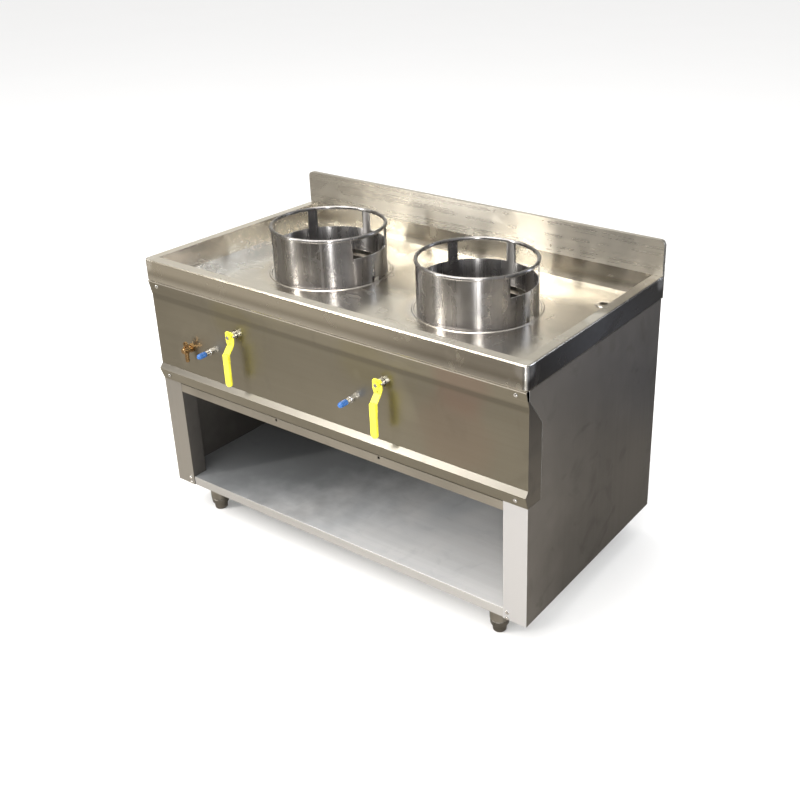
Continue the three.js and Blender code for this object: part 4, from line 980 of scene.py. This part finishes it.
class WOK_OT_front_panel(WokPiece, bpy.types.Operator):
    """Front panel with its drip bead, and the cross rail under it"""

    bl_idname = "wok.front_panel"
    bl_label = "Front panel"

    def execute(self, context):
        low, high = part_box("front_panel")
        bead_low, bead_high = (low.z + height for height in BEAD_HEIGHTS)
        colour = colours().panel
        crease = high.z - CREASE_DEPTH
        # Painted stand-ins for what the panel mirrors: yellow beside the levers, red on the right.
        reflections = [
            spot_tint((-0.30, low.y, high.z - 0.05), 0.09, 0.5, (0.35, 0.31, 0.12), 0.22),
            spot_tint((0.14, low.y, high.z - 0.05), 0.10, 0.5, (0.36, 0.32, 0.13), 0.20),
            spot_tint((0.42, low.y, high.z - 0.03), 0.10, 0.5, (0.42, 0.22, 0.20), 0.22),
            spot_tint((0.40, low.y, high.z - 0.16), 0.14, 0.6, (0.38, 0.25, 0.20), 0.22),
        ]
        # Painted light in bands: shade in the crease, shade that dims the drip bead, shade below
        # the bead and a highlight along the top fold.
        bands = [
            band_tint(crease - 0.012, crease + 0.004, 0.004, shade(colour, 0.55), 0.5),
            band_tint(bead_low, bead_high, 0.0012, colours().bead, 0.9),
            band_tint(low.z, bead_low - 0.001, 0.002, shade(colour, 0.85), 0.6),
            band_tint(high.z - 0.0032, high.z + 0.01, 0.0008, (0.96, 0.93, 0.88), 0.95),
        ]
        # Painted shade: the panel's sideways flanges take the dark tone of the sides.
        painted_shade_flanges = [facing_tint((turn, 0, 0), colours().side, 0.9) for turn in (-1, 1)]
        tints = [*reflections, *bands, *painted_shade_flanges]
        panel = steel("panel_steel", colour, 0.33, ALONG_X, 0.9, clouds=0.1, tints=tints)
        # A pale painted highlight on the folds of the panel and the rail.
        fold = fold_wear_and_highlight("panel_fold", (0.95, 0.93, 0.90), haze=0.7)
        recut("front_panel", [panel, fold], sizes().fold, 3)
        rail = steel("rail_steel", (0.50, 0.475, 0.43), 0.34, ALONG_X, 1.2)
        recut("cross_rail", [rail, fold], sizes().fold * 0.6, 2)
        return {"FINISHED"}


class WOK_OT_side_panels(WokPiece, bpy.types.Operator):
    """Side panels with the folded posts in front"""

    bl_idname = "wok.side_panels"
    bl_label = "Side panels"

    def execute(self, context):
        dark = colours().side
        for side, post in (("left", colours().post_left_shaded), ("right", colours().post_right_lit)):
            low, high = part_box(f"side_panel_{side}")
            # Painted shade towards the lower rear, and the posts' front faces in their painted
            # tone, shaded on the left and lit on the right.
            sheet = steel(
                f"side_steel_{side}",
                dark,
                0.4,
                ALONG_Z,
                1.1,
                clouds=0.12,
                tints=[
                    spot_tint((high.x, high.y, low.z), 0.75, 0.3, shade(dark, 0.45), 0.8),
                    facing_tint((0, -1, 0), post, 0.95),
                ],
                haze=0.2,
            )
            # A painted highlight on the folds, brighter than the post.
            fold = fold_wear_and_highlight(f"side_fold_{side}", shade(post, 1.3), haze=0.7)
            recut(f"side_panel_{side}", [sheet, fold], sizes().fold, 3)
        return {"FINISHED"}


class WOK_OT_cupboard(WokPiece, bpy.types.Operator):
    """Shelf, back panel, burner tray and base rails"""

    bl_idname = "wok.cupboard"
    bl_label = "Cupboard"

    def execute(self, context):
        low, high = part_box("base_shelf")
        # Painted light on the shelf: its front lip is painted darker than its bright top, with
        # painted shade at the rear left.
        lip = facing_tint((0, -1, 0), (0.37, 0.355, 0.335), 0.9)
        corner = spot_tint((low.x, high.y - 0.2, high.z), 0.78, 0.35, (0.20, 0.21, 0.22), 0.85)
        shelf = steel(
            "shelf_steel", colours().shelf, 0.34, ALONG_X, 1.2, tints=[corner, lip], haze=0.55
        )
        # A white painted highlight on the shelf's folds.
        fold = fold_wear_and_highlight("shelf_fold", (0.97, 0.97, 0.97), haze=0.9)
        recut("base_shelf", [shelf, fold], sizes().fold * 1.8, 3)
        # The back panel's steel is dark, with a pale painted reflection low on the right of its
        # front face.
        back = steel(
            "back_steel",
            (0.13, 0.125, 0.12),
            0.34,
            ALONG_X,
            0.9,
            tints=[spot_tint((0.47, high.y, 0.19), 0.3, 0.3, (0.50, 0.52, 0.55), 0.8, (0, -1, 0))],
            haze=0.3,
        )
        # A painted highlight on the back panel's folds.
        back_fold = fold_wear_and_highlight("back_fold", (0.4, 0.39, 0.38))
        recut("back_panel", [back, back_fold], sizes().fold * 0.6)
        tray = steel("tray_steel", colours().inside, 0.4, ALONG_X, 1.3)
        recut("burner_tray", [tray], sizes().fold * 0.5)
        rail = steel("base_rail_steel", (0.30, 0.28, 0.26), 0.42, ALONG_X, 1.5)
        for end in ("front", "rear"):
            recut(f"base_rail_{end}", [rail], sizes().fold * 0.5)
        return {"FINISHED"}


STEM_LENGTH, STEM_RADIUS = 0.030, 0.0078


class WOK_OT_legs(WokPiece, bpy.types.Operator):
    """Leg sleeves with their plates, and the levelling feet"""

    bl_idname = "wok.legs"
    bl_label = "Legs and feet"

    def execute(self, context):
        sleeve = steel("sleeve_steel", colours().foot, 0.36, (200, 200, 8), 4.0, clouds=0.25)
        foot_metal = metal("foot_metal", shade(colours().foot, 0.8), 0.42, 60.0, 0.2)
        for end in ("front", "rear"):
            for side in SIDES:
                recut(f"leg_{end}_{side}", [sleeve], 0.0007, 2, 40)
                name = f"foot_{end}_{side}"
                low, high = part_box(name)
                at = (low + high) / 2
                wide = (high.x - low.x) / 2
                stem_top = high.z - low.z
                body_top = stem_top - STEM_LENGTH
                # The pad on the floor, the taper, the step above it and the plain stem.
                profile = [
                    (0.0, 0.0),
                    (wide - 0.0100, 0.0),
                    (wide - 0.0080, 0.0007),
                    (wide - 0.0070, 0.0022),
                    (wide - 0.0062, body_top * 0.25),
                    (wide - 0.0050, body_top * 0.52),
                    (wide - 0.0042, body_top * 0.57),
                    (wide - 0.0014, body_top * 0.60),
                    (wide - 0.0006, body_top * 0.64),
                    (wide - 0.0002, body_top * 0.90),
                    (wide, body_top - 0.0018),
                    (wide - 0.0014, body_top),
                    (STEM_RADIUS + 0.0004, body_top),
                    (STEM_RADIUS, body_top + 0.002),
                    (STEM_RADIUS, stem_top - 0.001),
                    (0.0068, stem_top),
                    (0.0, stem_top),
                ]
                foot = turned("dressed_" + name, profile, (at.x, at.y, low.z))
                rounded(foot, 0.0, flats=False)
                finish_piece(foot, name, [foot_metal])
        return {"FINISHED"}


class WOK_OT_gas_levers(WokPiece, bpy.types.Operator):
    """Gas valves with their stems, levers and nuts"""

    bl_idname = "wok.gas_levers"
    bl_label = "Gas levers"

    def execute(self, context):
        vinyl = plastic("lever_vinyl", colours().lever, 0.34, 0.35, coat=0.3)
        # Painted shade: a darker copy of the vinyl on the rounded edges of the levers and nuts.
        edge = plastic("lever_edge", shade(colours().lever, 0.45), 0.5, 0.6)
        chrome = metal("valve_chrome", colours().chrome, 0.16, 60.0, 0.05)
        for side in SIDES:
            recut(f"valve_lever_{side}", [vinyl, edge], 0.0007, 2, 40)
            recut(f"lever_nut_{side}", [vinyl, edge], 0.0005, 2, 40)
            recut(f"valve_stem_{side}", [chrome], 0.0006, 2, 40)
            recut(f"valve_body_{side}", [chrome], 0.0006, 2, 40)
        return {"FINISHED"}


class WOK_OT_pilot_knobs(WokPiece, bpy.types.Operator):
    """Pilot cocks with their ribbed knobs"""

    bl_idname = "wok.pilot_knobs"
    bl_label = "Pilot knobs"

    def execute(self, context):
        blue = plastic("knob_plastic", colours().knob, 0.3, 0.2, coat=0.4)
        chrome = metal("valve_chrome", colours().chrome, 0.16, 60.0, 0.05)
        for side in SIDES:
            recut(f"pilot_valve_{side}", [chrome], 0.0004, 2, 40)
            recut(f"pilot_knob_{side}", [blue], 0.0004, 2, 40)
        return {"FINISHED"}


class WOK_OT_water_cock(WokPiece, bpy.types.Operator):
    """Brass water cock with its key"""

    bl_idname = "wok.water_cock"
    bl_label = "Water cock"

    def execute(self, context):
        brass = metal("cock_brass", colours().brass, 0.24, 50.0, 0.12)
        recut("water_cock", [brass], 0.0005, 2, 40)
        recut("water_cock_key", [brass], 0.0006, 2, 40)
        return {"FINISHED"}


class WOK_OT_burners(WokPiece, bpy.types.Operator):
    """Burner wells, castings, mixing tubes and brackets"""

    bl_idname = "wok.burners"
    bl_label = "Burners"

    def execute(self, context):
        iron = metal("burner_iron", colours().iron, 0.62, 30.0, 0.5, 0.6)
        dark = steel("well_steel", (0.18, 0.165, 0.155), 0.42, (120, 120, 20), 3.0, clouds=0.3)
        for side in SIDES:
            recut(f"burner_well_{side}", [dark], 0.0006, 2, 40)
            recut(f"burner_head_{side}", [iron], 0.0007, 2, 40)
            recut(f"mixing_tube_{side}", [iron], 0.0008, 2, 40)
            recut(f"burner_bracket_{side}", [dark], 0.0006, 2, 30)
        return {"FINISHED"}


class WOK_OT_pipes(WokPiece, bpy.types.Operator):
    """Gas manifold, gas pipes, pilot tubes, water pipe and waste pipe"""

    bl_idname = "wok.pipes"
    bl_label = "Pipes"

    def execute(self, context):
        pipe = metal("pipe_steel", colours().pipe, 0.45, 30.0, 0.25)
        copper = metal("pipe_copper", colours().copper, 0.3, 40.0, 0.1)
        for name in ("gas_manifold", "gas_pipe_left", "gas_pipe_right", "drain_pipe"):
            recut(name, [pipe], 0.0005, 2, 50)
        for name in ("pilot_tube_left", "pilot_tube_right", "water_pipe"):
            recut(name, [copper], 0.0)
        return {"FINISHED"}


class WOK_OT_strainer(WokPiece, bpy.types.Operator):
    """Strainer in the drain"""

    bl_idname = "wok.strainer"
    bl_label = "Strainer"

    def execute(self, context):
        bright = metal("strainer_steel", (0.5, 0.48, 0.45), 0.25, 60.0, 0.1)
        recut("drain_strainer", [bright], 0.0004, 2, 40)
        return {"FINISHED"}


class WOK_OT_screws(WokPiece, bpy.types.Operator):
    """Screws of the panel and of the shelf"""

    bl_idname = "wok.screws"
    bl_label = "Screws"

    def execute(self, context):
        bright = metal("screw_steel", (0.86, 0.86, 0.87), 0.2, 60.0, 0.05)
        for name in sorted(n for n in frame["nodes"] if "_screw_" in n):
            recut(name, [bright], 0.0004, 2, 40)
        return {"FINISHED"}


# The camera: its turn, rise and roll in degrees, what it looks at and from how far in metres,
# and its focal length and optical centre in pixels of a square picture.
VIEW_ANGLES = (33.257, 24.289, 0.227)
VIEW_TARGET = (0.093075, 0.392298, 0.425)
VIEW_DISTANCE = 3.062668
PICTURE = 800
SENSOR = 36
FOCAL_PIXELS = 1038.2
OPTICAL_CENTRE = (508.245, 344.953)

FLOOR_FADE = (1.15, 1.5)  # where the floor's mirrored tone changes, in metres from the middle

# The lamps: place, aim, width, height, power in watts and colour.
WARM, PLAIN, COOL = (1.0, 0.965, 0.91), (1.0, 0.99, 0.97), (0.84, 0.90, 1.0)
LAMPS = {
    "ceiling_soft": ((-0.6, -0.6, 3.6), (0, 0, 0.6), 3.6, 3.0, 110, WARM),
    "front_soft": ((-0.6, -3.2, 4.4), (0, 0, 0.5), 2.4, 1.6, 40, PLAIN),
    "view_strip": ((1.68, -2.02, 1.05), (0.1, 0.1, 0.75), 0.18, 2.0, 34, PLAIN),
    "front_strip": ((-2.92, -3.8, 2.6), (0.0, 0.3, 0.8), 0.28, 3.4, 140, WARM),
    "right_strip": ((2.6, 2.6, 1.6), (0.2, 0, 0.75), 0.16, 2.4, 14, COOL),
}


class WOK_OT_stage(WokPiece, bpy.types.Operator):
    """Pale floor, studio light and the camera"""

    bl_idname = "wok.stage"
    bl_label = "Stage"

    def execute(self, context):
        self.floor()
        self.light(context.scene)
        self.camera(context.scene)
        return {"FINISHED"}

    def floor(self):
        clear_choice()
        bpy.ops.mesh.primitive_plane_add(size=40, location=(0, 0, 0))
        plane = settle(bpy.context.object, "studio_floor")
        material, tree, shader = bare("floor_paint")
        cloud = node(tree, "TexNoise", {"Vector": object_place(tree), "Scale": 1.2, "Detail": 3.0})
        paint = colours().floor
        base = mixed(tree, cloud.outputs[0], shade(paint, 0.985), shade(paint, 1.0))
        place = object_place(tree)
        room = effect(tree, "Room", Direction=place, Ceiling=(1, 1, 1, 1)).outputs["Colour"]
        away = node(tree, "VectorMath", {0: place}, operation="LENGTH").outputs["Value"]
        room = mixed(tree, 1.0, room, (0.6, 0.6, 0.6, 1), "MULTIPLY")
        room = mixed(tree, ranged(tree, away, *FLOOR_FADE), (0.33, 0.305, 0.265, 1), room)
        mirrored = node(tree, "LightPath").outputs["Is Glossy Ray"]
        base = mixed(tree, mirrored, base, room)
        tree.links.new(base, shader.inputs["Base Color"])
        shader.inputs["Roughness"].default_value = 0.85
        plane.data.materials.append(material)

    def lamp(self, name, place, aim, wide, high, power, colour):
        clear_choice()
        bpy.ops.object.light_add(type="AREA", location=place)
        lamp = bpy.context.object
        lamp.name = name
        lamp.data.shape = "RECTANGLE"
        lamp.data.size, lamp.data.size_y = wide, high
        lamp.data.energy, lamp.data.color = power, colour
        lamp.rotation_mode = "QUATERNION"
        lamp.rotation_quaternion = (Vector(aim) - Vector(place)).to_track_quat("-Z", "Y")

    def light(self, scene):
        for name, settings in LAMPS.items():
            self.lamp(name, *settings)
        world = bpy.data.worlds.new("studio")
        scene.world = world
        world.use_nodes = True
        tree = world.node_tree
        background = tree.nodes["Background"]
        way = node(tree, "TexCoord").outputs["Generated"]
        room = effect(tree, "Room", Direction=way, Ceiling=(0.60, 0.58, 0.54, 1)).outputs["Colour"]
        ray = node(tree, "LightPath").outputs
        seen = math_node(tree, "MAXIMUM", ray["Is Camera Ray"], ray["Is Diffuse Ray"])
        tree.links.new(mixed(tree, seen, room, (1, 1, 1, 1)), background.inputs["Color"])
        background.inputs["Strength"].default_value = 1.0
        scene.view_settings.view_transform = "Standard"

    def camera(self, scene):
        turn, rise, roll = (math.radians(angle) for angle in VIEW_ANGLES)
        back = Vector(
            (math.sin(turn) * math.cos(rise), -math.cos(turn) * math.cos(rise), math.sin(rise))
        )
        right = (-back).cross(Vector((0, 0, 1))).normalized()
        up = right.cross(-back)
        tilted_right = right * math.cos(roll) + up * math.sin(roll)
        tilted_up = -right * math.sin(roll) + up * math.cos(roll)
        place = Vector(VIEW_TARGET) + back * VIEW_DISTANCE
        clear_choice()
        bpy.ops.object.camera_add()
        camera = bpy.context.object
        camera.name = "view_camera"
        axes = Matrix((tilted_right, tilted_up, back)).transposed().to_4x4()
        camera.matrix_world = Matrix.Translation(place) @ axes
        camera.data.sensor_width = SENSOR
        camera.data.lens = FOCAL_PIXELS / PICTURE * SENSOR
        camera.data.shift_x = (PICTURE / 2 - OPTICAL_CENTRE[0]) / PICTURE
        camera.data.shift_y = (OPTICAL_CENTRE[1] - PICTURE / 2) / PICTURE
        camera.data.clip_start, camera.data.clip_end = 0.05, 200
        scene.camera = camera


# ---- Add-on ------------------------------------------------------------------------------------

PIECES = (
    WOK_OT_worktop,
    WOK_OT_rings,
    WOK_OT_front_panel,
    WOK_OT_side_panels,
    WOK_OT_cupboard,
    WOK_OT_legs,
    WOK_OT_gas_levers,
    WOK_OT_pilot_knobs,
    WOK_OT_water_cock,
    WOK_OT_burners,
    WOK_OT_pipes,
    WOK_OT_strainer,
    WOK_OT_screws,
    WOK_OT_stage,
)


class WOK_PT_range(bpy.types.Panel):
    """Builds the pieces of the wok range"""

    bl_idname = "WOK_PT_range"
    bl_label = "Wok range"
    bl_space_type = "VIEW_3D"
    bl_region_type = "UI"
    bl_category = "Wok range"

    def draw(self, context):
        for kind in PIECES:
            self.layout.operator(kind.bl_idname)
        for group in (context.scene.wok_sizes, context.scene.wok_colours):
            column = self.layout.column()
            for name in group.__annotations__:
                column.prop(group, name)


CLASSES = (WOK_PG_sizes, WOK_PG_colours, *PIECES, WOK_PT_range)


def register():
    for kind in CLASSES:
        bpy.utils.register_class(kind)
    bpy.types.Scene.wok_sizes = PointerProperty(type=WOK_PG_sizes)
    bpy.types.Scene.wok_colours = PointerProperty(type=WOK_PG_colours)


def unregister():
    del bpy.types.Scene.wok_colours
    del bpy.types.Scene.wok_sizes
    for kind in reversed(CLASSES):
        bpy.utils.unregister_class(kind)


def main():
    register()
    for kind in PIECES:
        group, name = kind.bl_idname.split(".")
        getattr(getattr(bpy.ops, group), name)()
    clear_choice()


if __name__ == "__main__":
    main()
